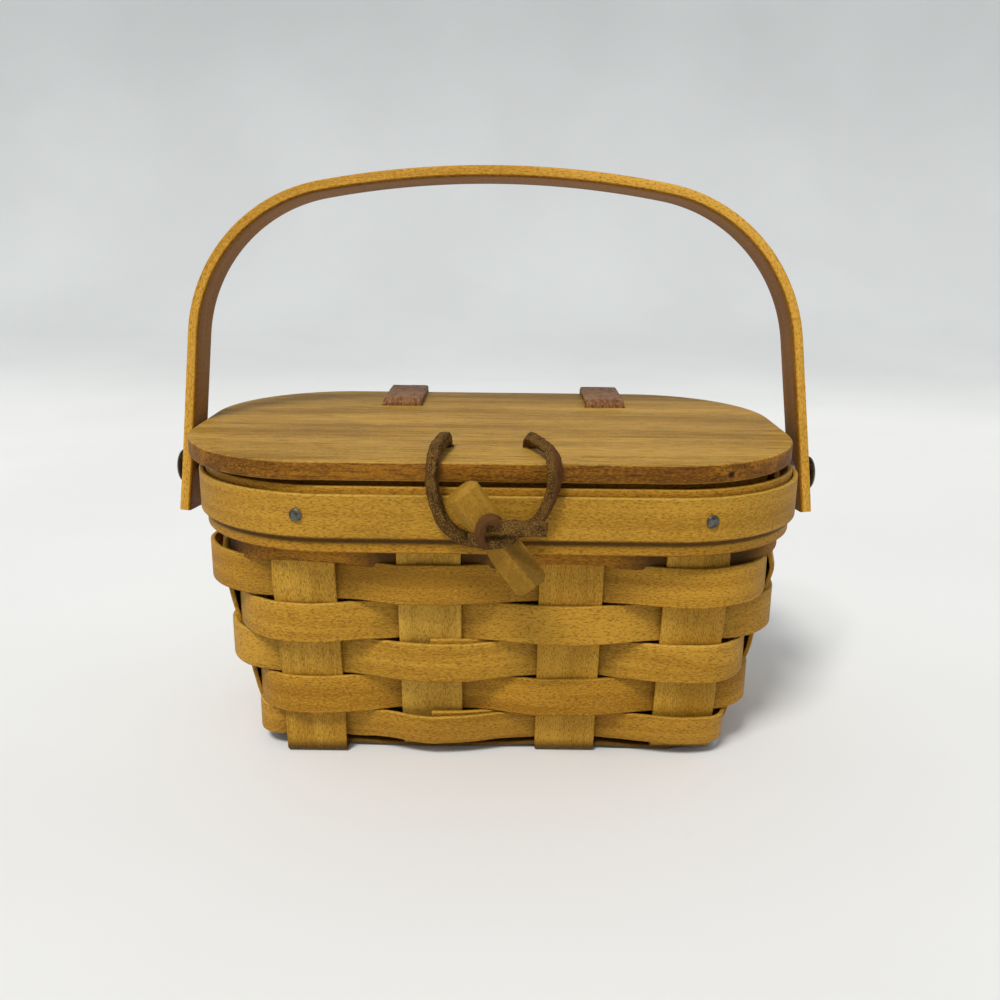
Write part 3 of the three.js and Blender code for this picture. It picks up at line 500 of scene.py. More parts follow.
def turned(name, profile, origin, axis, closed=False):
    """A turned piece: the profile is a list of (radius, height) along the axis from the origin."""
    turn = turn_to(axis)
    points = []
    for radius, height in profile:
        for angle in turns_of(ROUND_SIDES):
            local = Vector((radius * cos(angle), radius * sin(angle), height))
            points.append(turn @ local + Vector(origin))
    return build(name, points, ring_faces(len(profile), ROUND_SIDES, closed))


def smooth_path(points, spacing):
    """A centripetal curve through the points, with steps of about the spacing."""
    points = [Vector(p) for p in points]
    ends = [2 * points[0] - points[1], *points, 2 * points[-1] - points[-2]]
    path = []
    for k in range(1, len(ends) - 2):
        near = ends[k - 1:k + 3]
        knots = np.cumsum([0, *(sqrt((b - a).length) for a, b in zip(near, near[1:]))])
        steps = max(2, round((near[2] - near[1]).length / spacing))
        for now in knots[1] + (knots[2] - knots[1]) * np.arange(steps) / steps:
            level = near
            for reach in (1, 2):
                shares = (now - knots[:-reach]) / (knots[reach:] - knots[:-reach])
                level = [a.lerp(b, share) for a, b, share in zip(level, level[1:], shares)]
            path.append(level[0].lerp(level[1], (now - knots[1]) / (knots[2] - knots[1])))
    return [*path, points[-1]]


def carried_frames(path, across):
    """For each point of a path, the directions across and out of a strip carried along without twist."""
    frames = []
    last = len(path) - 1
    for k in range(len(path)):
        tangent = (path[min(last, k + 1)] - path[max(0, k - 1)]).normalized()
        across = (across - tangent * across.dot(tangent)).normalized()
        frames.append((across, tangent.cross(across)))
    return frames


def swept(name, path, section, across, rough, mark=0.0, twist=None):
    """A strip or lace along a path with an uneven surface; twist gives its turn at a share of the path."""
    frames = carried_frames(path, Vector(across))
    seed = seed_of(name)

    def place(k, wide, deep):
        side, out = frames[k]
        if twist:
            turn = twist(k / (len(path) - 1))
            side, out = side * cos(turn) + out * sin(turn), out * cos(turn) - side * sin(turn)
        point = path[k] + side * wide + out * deep
        push = rough * noise.noise(point * ROUGH_RATE + Vector((seed, 0, 0)))
        return point + (side * wide + out * deep).normalized() * push

    return strip(name, range(len(path)), outline_of(*section), place, 1.0, mark)


# The wall: a rounded rectangle that grows from base to mouth

FLARE = (MOUTH_DEPTH - BASE_DEPTH) / 2 / WALL_HEIGHT


def corner_radius(corner, z):
    """Corners are numbered by the side before them, so the first two are on the right."""
    ease = RIGHT_CORNER_EASE if corner <= RIGHT else 1.0
    return ease * by_height(CORNER_KNOTS, z)


def half_size(side, z):
    if side in (RIGHT, LEFT):
        belly = BELLY_RIGHT if side == RIGHT else BELLY_LEFT
        return BASE_WIDTH / 2 + FLARE * z + belly * by_height(BELLY_KNOTS, z)
    return BASE_DEPTH / 2 + FLARE * z


def wall_shape(side, z, end):
    """The half length of a side up to the corner at one end, the corner's place outward, and its radius."""
    before, after = (side - 1) % 4, (side + 1) % 4
    corner, neighbour = (side, after) if end > 0 else (before, before)
    radius = corner_radius(corner, z)
    return half_size(neighbour, z) - radius, half_size(side, z) - radius, radius


def on_side(side, along, out, z):
    """Each side is the front turned by quarter turns."""
    x, y = [(along, -out), (out, along), (-along, out), (-out, -along)][side]
    return Vector((x, y, z))


def wall_point(side, at, z, distance):
    flat, out, radius = wall_shape(side, z, 1 if at >= 0 else -1)
    past = max(0, abs(at) - flat)
    if past == 0:
        return on_side(side, at, out + radius + distance, z)
    angle = asin(min(1, past / radius))
    reach = radius + distance
    return on_side(side, copysign(flat + reach * sin(angle), at), out + reach * cos(angle), z)


def rim_point(side, at, z, distance):
    """A point on the rim, which stands upright with the outline of the wall's top."""
    return upright(wall_point(side, at, WALL_HEIGHT, distance), z)


STAKES = [
    *((FRONT, x) for x in CROSS_X),
    *((RIGHT, y) for y in SIDE_Y),
    *((BACK, -x) for x in reversed(CROSS_X)),
    *((LEFT, y) for y in SIDE_Y),
]


def stake_at(index):
    """The side and place of a stake, counted round and round from the front's left."""
    return STAKES[index % len(STAKES)]


def hoop_point(index, turn, z, distance):
    """A point between one stake and the next, where turn runs from 0 to 1 by length."""
    side, at = stake_at(index)
    next_side, next_at = stake_at(index + 1)
    if side == next_side:
        return wall_point(side, at + (next_at - at) * turn, z, distance)
    flat, out, radius = wall_shape(side, z, 1)
    next_flat = wall_shape(next_side, z, -1)[0]
    first = asin(max(0, at - flat) / radius)
    last = pi / 2 - asin(max(0, -next_at - next_flat) / radius)
    before, arc, after = max(0, flat - at), radius * (last - first), max(0, next_flat + next_at)
    run = turn * (before + arc + after)
    if run < before:
        return wall_point(side, at + run, z, distance)
    if run > before + arc:
        return wall_point(next_side, next_at - (before + arc + after - run), z, distance)
    angle = first + (run - before) / radius
    reach = radius + distance
    return on_side(side, flat + reach * sin(angle), out + reach * cos(angle), z)


def hoop_stations(first, spans):
    """Pairs (stake index, turn) from a stake's middle round the wall."""
    stations = []
    for index in range(first, first + spans):
        steps = SPAN_STEPS if stake_at(index)[0] == stake_at(index + 1)[0] else CORNER_SPAN_STEPS
        stations += [(index, step / steps) for step in range(steps)]
    return [*stations, (first + spans - 1, 1.0)]


# Materials

def material(name):
    made = bpy.data.materials.new(name)
    made.use_nodes = True
    return made, made.node_tree, made.node_tree.nodes["Principled BSDF"]


def feed(tree, node, inputs):
    """Sets a node's inputs, by name or count; one given as a socket is linked."""
    for key, value in inputs.items():
        if isinstance(value, bpy.types.NodeSocket):
            tree.links.new(value, node.inputs[key])
        else:
            node.inputs[key].default_value = value


def put(tree, kind, inputs, output=0, **settings):
    """An output of a new node with its inputs and settings."""
    node = tree.nodes.new(f"ShaderNode{kind}")
    for key, value in settings.items():
        setattr(node, key, value)
    feed(tree, node, inputs)
    return node.outputs[output]


def attribute(tree, name, output):
    return put(tree, "Attribute", {}, output, attribute_name=name)


def speckle(tree, vector, scale, detail, distortion=0.0):
    """Noise stretched by a scale per millimetre on each axis."""
    mapped = put(tree, "Mapping", {"Vector": vector, "Scale": scale})
    inputs = {"Vector": mapped, "Scale": 1.0, "Detail": detail, "Distortion": distortion}
    return put(tree, "TexNoise", inputs)


def spread(tree, value, used, to=(0.0, 1.0)):
    """Eases a value from its used range to another range."""
    inputs = dict(enumerate((value, *used, *to)))
    return put(tree, "MapRange", inputs, interpolation_type="SMOOTHSTEP")


def mixed(tree, factor, a, b):
    return put(tree, "Mix", {0: factor, 6: a, 7: b}, 2, data_type="RGBA")


def sums(tree, operation, a, b):
    return put(tree, "Math", {0: a, 1: b}, operation=operation)


def rgb(colour):
    return (*colour, 1)


def bump(tree, height, depth):
    """A bump whose full height is the depth in millimetres."""
    return put(tree, "Bump", {"Height": height, "Strength": 1.0, "Distance": depth * MM})


def coat(tree, surface, colour, roughness, normal):
    feed(tree, surface, {"Base Color": colour, "Roughness": roughness, "Normal": normal})


def wood(name, dark, light, fleck, share=FLECK_SHARE, streak=STREAK_SCALE, dash=FLECK_SCALE, spot=None):
    """Wood with broad streaks, fine fibres and short dark flecks, darkened where a point is marked."""
    made, tree, surface = material(name)
    surface.inputs["Specular IOR Level"].default_value = WOOD_SHEEN
    grain = attribute(tree, "grain", "Vector")
    drift = speckle(tree, grain, DRIFT_SCALE, detail=2)
    streaks = speckle(tree, grain, streak, detail=4, distortion=STREAK_BEND)
    fibres = speckle(tree, grain, FIBRE_SCALE, detail=3)
    dashes = speckle(tree, grain, dash, detail=3)
    layers = zip((drift, streaks, fibres), BODY_SHARES)
    weighed = [sums(tree, "MULTIPLY", layer, weight) for layer, weight in layers]
    body = sums(tree, "ADD", sums(tree, "ADD", *weighed[:2]), weighed[2])
    colour = mixed(tree, spread(tree, body, BODY_RANGE), rgb(dark), rgb(light))
    marks = spread(tree, dashes, FLECK_RANGE, (0.0, share))
    colour = mixed(tree, marks, colour, rgb(fleck))
    if spot:
        apart = put(tree, "VectorMath", {0: grain, 1: spot}, "Value", operation="DISTANCE")
        knot_mark = spread(tree, apart, SPOT_RADII, (SPOT_SHARE, 0.0))
        colour = mixed(tree, knot_mark, colour, rgb(SPOT_COLOUR))
    colour = put(tree, "Gamma", {"Color": colour, "Gamma": attribute(tree, "tone", "Fac")})
    # Marks darken towards the darkening colour; most marks are painted shade
    colour = mixed(tree, attribute(tree, "mark", "Fac"), colour, rgb(DARKENING_COLOUR))
    height = sums(tree, "SUBTRACT", fibres, sums(tree, "MULTIPLY", marks, FLECK_DEPTH))
    roughness = spread(tree, fibres, WIDE_RANGE, WOOD_ROUGHNESS)
    coat(tree, surface, colour, roughness, bump(tree, height, WOOD_RELIEF))
    return made


def leather(name, dark, light, pale, pale_share, smooth, rough, relief, fineness):
    """Napped leather, with a smooth face where a point's mark is 1."""
    made, tree, surface = material(name)
    surface.inputs["Specular IOR Level"].default_value = LEATHER_SHEEN
    grain = attribute(tree, "grain", "Vector")
    patches = speckle(tree, grain, tuple(fineness * rate for rate in PATCH_SCALE), detail=3)
    nap = speckle(tree, grain, tuple(fineness * rate for rate in NAP_SCALE), detail=4)
    creases = speckle(tree, grain, CREASE_SCALE, detail=3)
    colour = mixed(tree, spread(tree, patches, PATCH_RANGE), rgb(dark), rgb(light))
    colour = mixed(tree, spread(tree, nap, NAP_RANGE, (0.0, pale_share)), colour, rgb(pale))
    creased = rgb(CREASE_SHADE * value for value in smooth)
    face = mixed(tree, spread(tree, creases, WIDE_RANGE), rgb(smooth), creased)
    mark = attribute(tree, "mark", "Fac")
    nap_share = sums(tree, "SUBTRACT", 1.0, sums(tree, "MULTIPLY", mark, SMOOTH_FACE_EASE))
    normal = bump(tree, sums(tree, "MULTIPLY", nap, nap_share), relief)
    coat(tree, surface, mixed(tree, mark, colour, face), spread(tree, nap, WIDE_RANGE, rough), normal)
    return made


def metal(name, dark, light, rough, metallic, relief):
    """Clouded metal or lacquer with fine scratches."""
    made, tree, surface = material(name)
    grain = attribute(tree, "grain", "Vector")
    cloud = speckle(tree, grain, CLOUD_SCALE, detail=4)
    scratch = speckle(tree, grain, SCRATCH_SCALE, detail=2)
    colour = mixed(tree, spread(tree, cloud, PATCH_RANGE), rgb(dark), rgb(light))
    coat(tree, surface, colour, spread(tree, scratch, WIDE_RANGE, rough), bump(tree, scratch, relief))
    surface.inputs["Metallic"].default_value = metallic
    return made


WOODS = {
    "splint_wood": dict(dark=(0.35, 0.17, 0.012), light=(0.55, 0.295, 0.032), fleck=(0.17, 0.066, 0.004)),
    "band_wood": dict(dark=(0.33, 0.16, 0.011), light=(0.51, 0.27, 0.028), fleck=(0.17, 0.066, 0.004)),
    "handle_wood": dict(dark=(0.46, 0.22, 0.018), light=(0.68, 0.365, 0.05), fleck=(0.22, 0.086, 0.006)),
    "lid_wood": dict(
        dark=(0.27, 0.14, 0.017), light=(0.52, 0.298, 0.055), fleck=(0.15, 0.072, 0.009), share=0.5,
        streak=(0.012, 0.3, 0.3), dash=(0.16, 1.6, 1.6), spot=tuple(grain_offset("lid_board") + SPOT_PLACE)),
    "peg_wood": dict(
        dark=(0.28, 0.14, 0.01), light=(0.41, 0.212, 0.021), fleck=(0.17, 0.07, 0.005), share=0.4),
}
LEATHERS = {
    "strap_leather": dict(
        dark=(0.125, 0.042, 0.015), light=(0.25, 0.11, 0.035), pale=(0.42, 0.25, 0.1), pale_share=0.5,
        smooth=(0.2, 0.07, 0.03), rough=(0.4, 0.6), relief=0.06, fineness=1.0),
    "lace_leather": dict(
        dark=(0.05, 0.02, 0.003), light=(0.12, 0.056, 0.011), pale=(0.36, 0.22, 0.06), pale_share=0.6,
        smooth=(0.13, 0.052, 0.014), rough=(0.8, 0.95), relief=0.25, fineness=1.6),
}
METALS = {
    "tack_steel": dict(
        dark=(0.05, 0.046, 0.036), light=(0.15, 0.14, 0.12), rough=(0.35, 0.55), metallic=0.8, relief=0.02),
    "washer_steel": dict(
        dark=(0.2, 0.19, 0.17), light=(0.36, 0.35, 0.32), rough=(0.3, 0.5), metallic=0.9, relief=0.02),
    "rivet_lacquer": dict(
        dark=(0.012, 0.008, 0.006), light=(0.035, 0.02, 0.012), rough=(0.15, 0.3), metallic=0.1, relief=0.01),
}
LOOKS = {}
for make, kinds in ((wood, WOODS), (leather, LEATHERS), (metal, METALS)):
    for slot, values in kinds.items():
        LOOKS[slot] = make(slot, **values)


def paint(piece, slot):
    piece.data.materials.append(LOOKS[slot])


def dress(piece, slot, body, *nodes):
    """Paints a piece that moves with one body, and hides the parts that it stands for."""
    paint(piece, slot)
    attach(piece, body)
    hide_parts(*nodes)


# Stakes: up one wall, across the base and up the opposite wall

LOWER_PLY = SPLINT_THICKNESS / 2
UPPER_PLY = LOWER_PLY + SPLINT_THICKNESS + CLEARANCE


def stake_bow(index, z):
    """A stake gives a little where a weaver crosses it, in where the weaver is outside."""
    if z > STAKE_BOW_TOP:
        return 0.0
    foot = by_height(FOOT_BOW_KNOTS, z) if index == FOOT_BOW_STAKE else 0.0
    top_middle = FIRST_ROW + (ROW_COUNT - 1) * ROW_PITCH + WEAVER_HEIGHT / 2
    fade = min(1.0, (STAKE_BOW_TOP - z) / ROW_PITCH, z / ROW_PITCH)
    sign = -1 if index % 2 == 0 else 1
    return foot + sign * STAKE_BOW * fade * cos(pi * (top_middle - z) / ROW_PITCH)


def upright_stations(side, flip, index, ply):
    """From the top of one upright to the foot of its bend."""
    lean = atan(FLARE)
    bend_top = ply + STAKE_BEND * (1 - sin(lean))
    heights = np.linspace(WALL_HEIGHT - CLEARANCE, bend_top, round(WALL_HEIGHT / UPRIGHT_SPACING))
    stations = [("wall", side, flip, z, stake_bow(index, z)) for z in heights[:-1]]
    for k in range(BEND_STEPS + 1):
        angle = lean + (pi / 2 - lean) * k / BEND_STEPS
        inward = STAKE_BEND * (cos(angle) - cos(lean)) + stake_bow(index, bend_top)
        height = ply + STAKE_BEND * (1 - sin(angle))
        stations.append(("bend", side, flip, bend_top, inward, height, angle))
    return stations


def flat_stations(crossings, plies):
    """Along the base, from the ply at one crossing to the ply at the next."""
    stations = []
    for start, end, low, high in zip(crossings, crossings[1:], plies, plies[1:]):
        for k in range(FLAT_STEPS + 1):
            turn = k / FLAT_STEPS
            ease = clamp((turn * (end - start) - STAKE_WIDTH / 2) / (end - start - STAKE_WIDTH))
            height = low + (high - low) * (1 - cos(pi * ease)) / 2
            stations.append(("flat", start + (end - start) * turn, height))
    return stations


def stake(name, centre, sides, indices, crossings, plies, along_x):
    stations = [
        *upright_stations(sides[0], 1, indices[0], plies[0]),
        *flat_stations(crossings, plies)[1:-1],
        *reversed(upright_stations(sides[1], -1, indices[1], plies[-1])),
    ]

    def place(station, across, deep):
        kind = station[0]
        if kind == "flat":
            _, along, height = station
            if along_x:
                run = clamp((BASE_WIDTH / 2 - abs(along)) / BASE_SPREAD_RUN)
                wide = across * (1 + BASE_SPREAD * run) if across * centre > 0 else across
                return Vector((along, centre + wide, height - deep))
            return Vector((centre + across, along, height - deep))
        if kind == "wall":
            _, side, flip, z, bow = station
            return wall_point(side, flip * (centre + across), z, bow + deep)
        _, side, flip, z, inward, height, angle = station
        point = upright(wall_point(side, flip * (centre + across), z, inward), height)
        return point + on_side(side, 0, cos(angle), -sin(angle)) * deep

    outline = outline_of(STAKE_WIDTH, SPLINT_THICKNESS, SPLINT_EDGE)
    # Painted shade: each foot is darker close to the floor
    darkening = [[by_height(FOOT_SHADE_KNOTS, place(station, 0, 0).z)] for station in stations]
    return strip(name, stations, outline, place, own_tone(name, STAKE_TONE), darkening)


def base_ply(cross_index, side_index):
    return UPPER_PLY if (cross_index + side_index) % 2 else LOWER_PLY


for number, x in enumerate(CROSS_X):
    plies = [base_ply(number, k) for k in range(len(SIDE_Y))]
    indices = (number, len(STAKES) - len(SIDE_Y) - 1 - number)
    node = f"cross_splint_{number + 1}"
    piece = stake(f"{node}_wood", x, (FRONT, BACK), indices, SIDE_Y, plies, False)
    dress(piece, "splint_wood", "basket", node)

for number, y in enumerate(SIDE_Y):
    plies = [LOWER_PLY + UPPER_PLY - base_ply(k, number) for k in reversed(range(len(CROSS_X)))]
    indices = (len(CROSS_X) + number, len(STAKES) - 1 - number)
    node = f"length_splint_{number + 1}"
    piece = stake(f"{node}_wood", y, (RIGHT, LEFT), indices, CROSS_X[::-1], plies, True)
    dress(piece, "splint_wood", "basket", node)


# Weavers: each row is one strip whose ends lap between two stakes

def weave_side(index, turn, row):
    """From 1 outside a stake to -1 inside it."""
    at_stake = -1 if (index + row) % 2 else 1
    return at_stake * cos(pi * turn)


def weaver(name, row):
    spans = len(STAKES)
    first = LAP_STAKES[row]
    stations = hoop_stations(first, spans + 1)
    middle = FIRST_ROW + (ROW_COUNT - 1 - row) * ROW_PITCH + WEAVER_HEIGHT / 2 + ROW_LIFTS[row]
    swing = OPEN_SWING if row else HIDDEN_SWING
    seed = seed_of(name)

    def place(station, across, deep):
        index, turn = station
        run = index - first + turn
        side = weave_side(index, turn, row)
        early = clamp((1 + LAP_EASE - run) / LAP_EASE)
        late = clamp((run - spans + LAP_EASE) / LAP_EASE)
        ply = late * LAP_STEP * (1 + side) / 2 - early * LAP_STEP * (1 - side) / 2
        lift = LAP_LIFT * max(0, 1 - run / LAP_LIFT_SPANS)
        wave = ROW_WAVE * noise.noise(Vector((run * ROW_WAVE_RATE, seed, 0)))
        height = middle + across + lift + wave
        distance = swing * side + ply + deep
        if row == 0:
            drop = TOP_ROW_DROP * clamp(1 - side) if across < 0 else 0.0
            return hoop_point(index, turn, height - drop, distance)
        point = hoop_point(index, turn, middle, distance)
        if row == ROW_COUNT - 1:
            facing = (hoop_point(index, turn, middle, distance + 1) - point).y ** 2
            grip = BOTTOM_ROW_GRIP * swing * max(0, -side) * (0.5 - across / WEAVER_HEIGHT)
            point = hoop_point(index, turn, middle, distance + grip + BOTTOM_ROW_LEAN * across * facing)
            height -= BOTTOM_ROW_TRIM * min(0, across)
        return upright(point, height)

    outline = outline_of(WEAVER_HEIGHT, SPLINT_THICKNESS, SPLINT_EDGE)
    tones = lit_edge_tones(outline, WEAVER_HEIGHT, SPLINT_EDGE, own_tone(name, ROW_TONES[row]))
    sides = np.array([[weave_side(*station, row)] for station in stations])
    # Painted shade where a row passes inside a stake, and over the top row under the bands
    darkening = ROW_INSIDE_SHADE * clamp(-sides) if row else TOP_ROW_SHADE * clamp(TOP_ROW_SHADE_FROM - sides)
    return strip(name, stations, outline, place, tones, darkening)


for row in range(ROW_COUNT):
    node = f"weaver_row_{row + 1}"
    dress(weaver(f"{node}_wood", row), "splint_wood", "basket", node)


# Rim bands: hoops with a fine seam at the back

def band(name, sizes, tone, leans=False, lip=0.0):
    """A band that leans with the wall or stands upright, and that may have a raised lip at the front."""
    bottom, top, inner, outer = sizes
    stations = hoop_stations(BAND_SEAM_STAKE, len(STAKES))
    stations[-1] = (stations[-1][0], 1 - BAND_SEAM)
    middle, distance = (bottom + top) / 2, (inner + outer) / 2
    outline = outline_of(top - bottom, outer - inner, BAND_EDGE, BAND_ACROSS_STEPS)
    # Painted shade: a dark line on the under band just below the outer band
    low, high = SHADE_LINE
    shaded = [lip > 0 and deep > 0 and low < middle + across < high for across, deep in outline]
    darkening = np.where(shaded, SHADE_LINE_SHARE, 0.0)

    def place(station, across, deep):
        if leans:
            return hoop_point(*station, middle + across, distance + deep)
        point = hoop_point(*station, WALL_HEIGHT, distance + deep)
        rise = lip * clamp(-point.y / FRONT_LIP_REACH) if across > 0 else 0.0
        return upright(point, middle + across + rise)

    return strip(name, stations, outline, place, lit_edge_tones(outline, top - bottom, BAND_EDGE, tone), darkening)


BANDS = {
    "outer_band": dict(sizes=OUTER_BAND, tone=OUTER_BAND_TONE),
    "under_band": dict(sizes=UNDER_BAND, tone=UNDER_BAND_TONE, lip=FRONT_LIP),
    "inner_band": dict(sizes=INNER_BAND, tone=INNER_BAND_TONE, leans=True),
}
for node, values in BANDS.items():
    dress(band(f"{node}_wood", **values), "band_wood", "basket", node)


# Tacks, rivets, washers and burrs

def dome(head, seat):
    """A low dome from its seat up: a rounded lip, then an arc to the axis."""
    radius, height, lip = head
    profile = [(radius - lip, seat), (radius, seat + lip)]
    for k in range(1, DOME_STEPS + 1):
        angle = pi / 2 * k / DOME_STEPS
        profile.append((radius * cos(angle), seat + lip + (height - lip) * sin(angle)))
    return profile


def tack(name, side, at, height, layer):
    """A tack square to the wall, from the middle of the inner band to its head over a layer on the rim."""
    origin = wall_point(side, at, height, 0)
    normal = wall_point(side, at, height, 1) - origin
    seat = (rim_point(side, at, height, layer) - origin).dot(normal)
    tip = (INNER_BAND_INSIDE + INNER_BAND_OUTSIDE) / 2
    shank = [(0, tip), (TACK_RADIUS, tip + TACK_RADIUS), (TACK_RADIUS, seat)]
    return turned(name, [*shank, *dome(TACK_HEAD, seat)], origin, normal)


BAND_SEAT = RIM_FACE + TACK_GAP
STRAP_SEAT = RIM_FACE + 2 * (STRAP_THICKNESS + CLEARANCE)
TACKS = {
    "band_tack_front_left": (FRONT, CROSS_X[0] + LEFT_TACK_SHIFT, TACK_HEIGHT, BAND_SEAT),
    "band_tack_front_right": (
        FRONT, CROSS_X[-1] - RIGHT_TACK_SHIFT, TACK_HEIGHT - RIGHT_TACK_DROP, BAND_SEAT),
    "band_tack_back_left": (BACK, -CROSS_X[0], TACK_HEIGHT, BAND_SEAT),
    "band_tack_back_right": (BACK, -CROSS_X[-1], TACK_HEIGHT, BAND_SEAT),
    "strap_tack_left": (BACK, -STRAP_X[0], TACK_HEIGHT, STRAP_SEAT),
    "strap_tack_right": (BACK, -STRAP_X[1], TACK_HEIGHT, STRAP_SEAT),
}
for node, spot in TACKS.items():
    dress(tack(f"{node}_steel", *spot), "tack_steel", "basket", node)


def stack_of(node, sign):
    """Where a pivot piece starts and ends, as distances from the basket's middle."""
    low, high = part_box(node)
    return sorted((sign * low.x / MM, sign * high.x / MM))


def washer(name, sizes, radius, sign):
    start, end = sizes
    bore = RIVET_RADIUS + CLEARANCE
    flat = radius - WASHER_EASE
    profile = [
        (bore, start), (flat, start), (radius, start + WASHER_EASE),
        (radius, end - WASHER_EASE), (flat, end), (bore, end),
    ]
    return turned(name, profile, (0, 0, PIVOT_HEIGHT), (sign, 0, 0), closed=True)


def rivet(name, sizes, sign):
    start, end = sizes
    seat = end - RIVET_HEAD_HEIGHT
    tail = [(radius, start + height) for radius, height in RIVET_TAIL]
    profile = [*tail, (RIVET_RADIUS, seat), *dome(RIVET_HEAD, seat)]
    return turned(name, profile, (HANDLE_SHIFT, 0, PIVOT_HEIGHT), (sign, 0, 0))


for side, sign in ENDS:
    for kind, radius in (("handle_washer", WASHER_RADIUS), ("rivet_burr", BURR_RADIUS)):
        node = f"{kind}_{side}"
        piece = washer(f"{node}_steel", stack_of(node, sign), radius, sign)
        dress(piece, "washer_steel", "basket", node)
    node = f"handle_rivet_{side}"
    dress(rivet(f"{node}_head", stack_of(node, sign), sign), "rivet_lacquer", "basket", node)


# Handle: one bent strip that leans back a little

def handle_half(foot_length):
    """Pairs (point, turn) from the right foot up to the middle of the crown."""
    def rise(length):
        return LEG_X - length * sin(LEG_LEAN), length * cos(LEG_LEAN)

    def arc(start, turn, radius, by):
        x = start[0] - radius * (cos(turn) - cos(turn + by))
        return x, start[1] + radius * (sin(turn + by) - sin(turn))

    half = [(rise(length), LEG_LEAN) for length in np.arange(-foot_length, LEG_LENGTH, HANDLE_SPACING)]
    start = rise(LEG_LENGTH)
    for turn in np.linspace(0, HANDLE_TURN, round(HANDLE_RADIUS * HANDLE_TURN / HANDLE_SPACING)):
        half.append((arc(start, LEG_LEAN, HANDLE_RADIUS, turn), LEG_LEAN + turn))
    shoulder, shoulder_turn = half[-1]
    crown_turn = pi / 2 - shoulder_turn
    crown_radius = shoulder[0] / sin(crown_turn)
    for turn in np.linspace(0, crown_turn, round(shoulder[0] / HANDLE_SPACING))[1:]:
        half.append((arc(shoulder, shoulder_turn, crown_radius, turn), shoulder_turn + turn))
    return half


def handle():
    half = handle_half(RIGHT_FOOT_LENGTH)
    mirror = [((-x, z), pi - turn) for (x, z), turn in reversed(handle_half(LEFT_FOOT_LENGTH)[:-1])]
    crown = half[-1][0][1]
    lean = Matrix.Rotation(-HANDLE_REST_LEAN, 3, "X")
    lift = Vector((0, 0, PIVOT_HEIGHT))

    def place(station, across, deep):
        (x, z), turn = station
        drift = HANDLE_SHIFT - HANDLE_DRIFT * max(0, z) / crown
        point = Vector((x + drift + cos(turn) * deep, across, z + sin(turn) * deep))
        return lean @ point + lift

    outline = outline_of(HANDLE_WIDTH, HANDLE_THICKNESS, HANDLE_EDGE, HANDLE_ACROSS_STEPS)
    # The inner face of the handle is darker: its own tone and a share of the darkening colour
    inner = [deep < -HANDLE_INNER_DEPTH for _, deep in outline]
    tones = np.where(inner, HANDLE_INNER_TONE, 1.0)
    darkening = np.where(inner, HANDLE_INNER_DARKENING, 0.0)
    return strip("handle_wood", [*half, *mirror], outline, place, tones, darkening)


dress(handle(), "handle_wood", "handle", "handle")


# Lid: a board with eased edges, slots for the straps and holes for the lace

LID_POSE = Matrix.Translation((LID_SHIFT, 0, LID_HEIGHT)) @ Matrix.Rotation(LID_TILT, 4, "X")
SLOT_Y = LID_DEPTH / 2 - STRAP_SLOT_INSET
LACE_Y = LACE_HOLE_INSET - LID_DEPTH / 2


def on_lid(x, y, z):
    return LID_POSE @ Vector((x, y, z))


def hole_x(side):
    return LACE_HOLE_SHIFT + side * LACE_HOLE_SPREAD / 2


def board_ring(inset, z):
    width, depth = LID_WIDTH - 2 * inset, LID_DEPTH - 2 * inset
    return [(x, y, z) for x, y in outline_of(width, depth, LID_CORNER - inset, 1, LID_CORNER_STEPS)]


def lid_cuts():
    """The outlines of the slots and holes."""
    half_width = STRAP_WIDTH / 2 + CLEARANCE
    half_depth = STRAP_THICKNESS / 2 + CLEARANCE
    for x in STRAP_X:
        yield [(x - LID_SHIFT + sx * half_width, SLOT_Y + sy * half_depth) for sx, sy in QUADRANTS]
    for side in (-1, 1):
        round_hole = [(cos(t), sin(t)) for t in turns_of(ROUND_SIDES)]
        yield [(hole_x(side) + LACE_HOLE_RADIUS * x, LACE_Y + LACE_HOLE_RADIUS * y) for x, y in round_hole]


def lid():
    """The walls of the board and its cuts, closed by two flat faces round the cuts."""
    profile = []
    for k in range(LID_EDGE_STEPS + 1):
        angle = pi / 2 * k / LID_EDGE_STEPS
        profile.append((LID_EDGE * (1 - sin(angle)), LID_THICKNESS - LID_EDGE * (1 - cos(angle))))
    profile += [(inset, LID_THICKNESS - z) for inset, z in reversed(profile)]
    walls = [[board_ring(inset, z) for inset, z in profile]]
    walls += [[[(x, y, z) for x, y in cut] for z in (LID_THICKNESS, 0)] for cut in lid_cuts()]
    points, faces, tops, bottoms, flat = [], [], [], [], []
    for rings in walls:
        start, size = len(points), len(rings[0])
        points += [p for ring in rings for p in ring]
        faces += [tuple(start + k for k in face) for face in ring_faces(len(rings), size)[:-2]]
        tops.append(range(start, start + size))
        bottoms.append(range(len(points) - size, len(points)))
    for loops in (tops, bottoms):
        order = [index for loop in loops for index in loop]
        outlines = [[Vector(points[index]) for index in loop] for loop in loops]
        flat += [tuple(order[k] for k in face) for face in geometry.tessellate_polygon(outlines)]
    numbers = range(len(faces), len(faces) + len(flat))
    placed = [on_lid(*p) for p in points]
    tones = [LID_EDGE_TONE if LID_EDGE / 2 < p[2] < LID_THICKNESS - LID_EDGE / 2 else 1.0 for p in points]
    return build("lid_board", placed, faces + flat, points, tones, flat=numbers)


dress(lid(), "lid_wood", "lid", "lid")


# Hinge straps: tacked to the back of the rim, under the lid, up through its slot and back over its edge

def quarter_turn(corner, radius, start):
    turns = [start - pi / 2 * k / BEND_STEPS for k in range(BEND_STEPS + 1)]
    return [corner + Vector((0, radius * cos(t), radius * sin(t))) for t in turns]


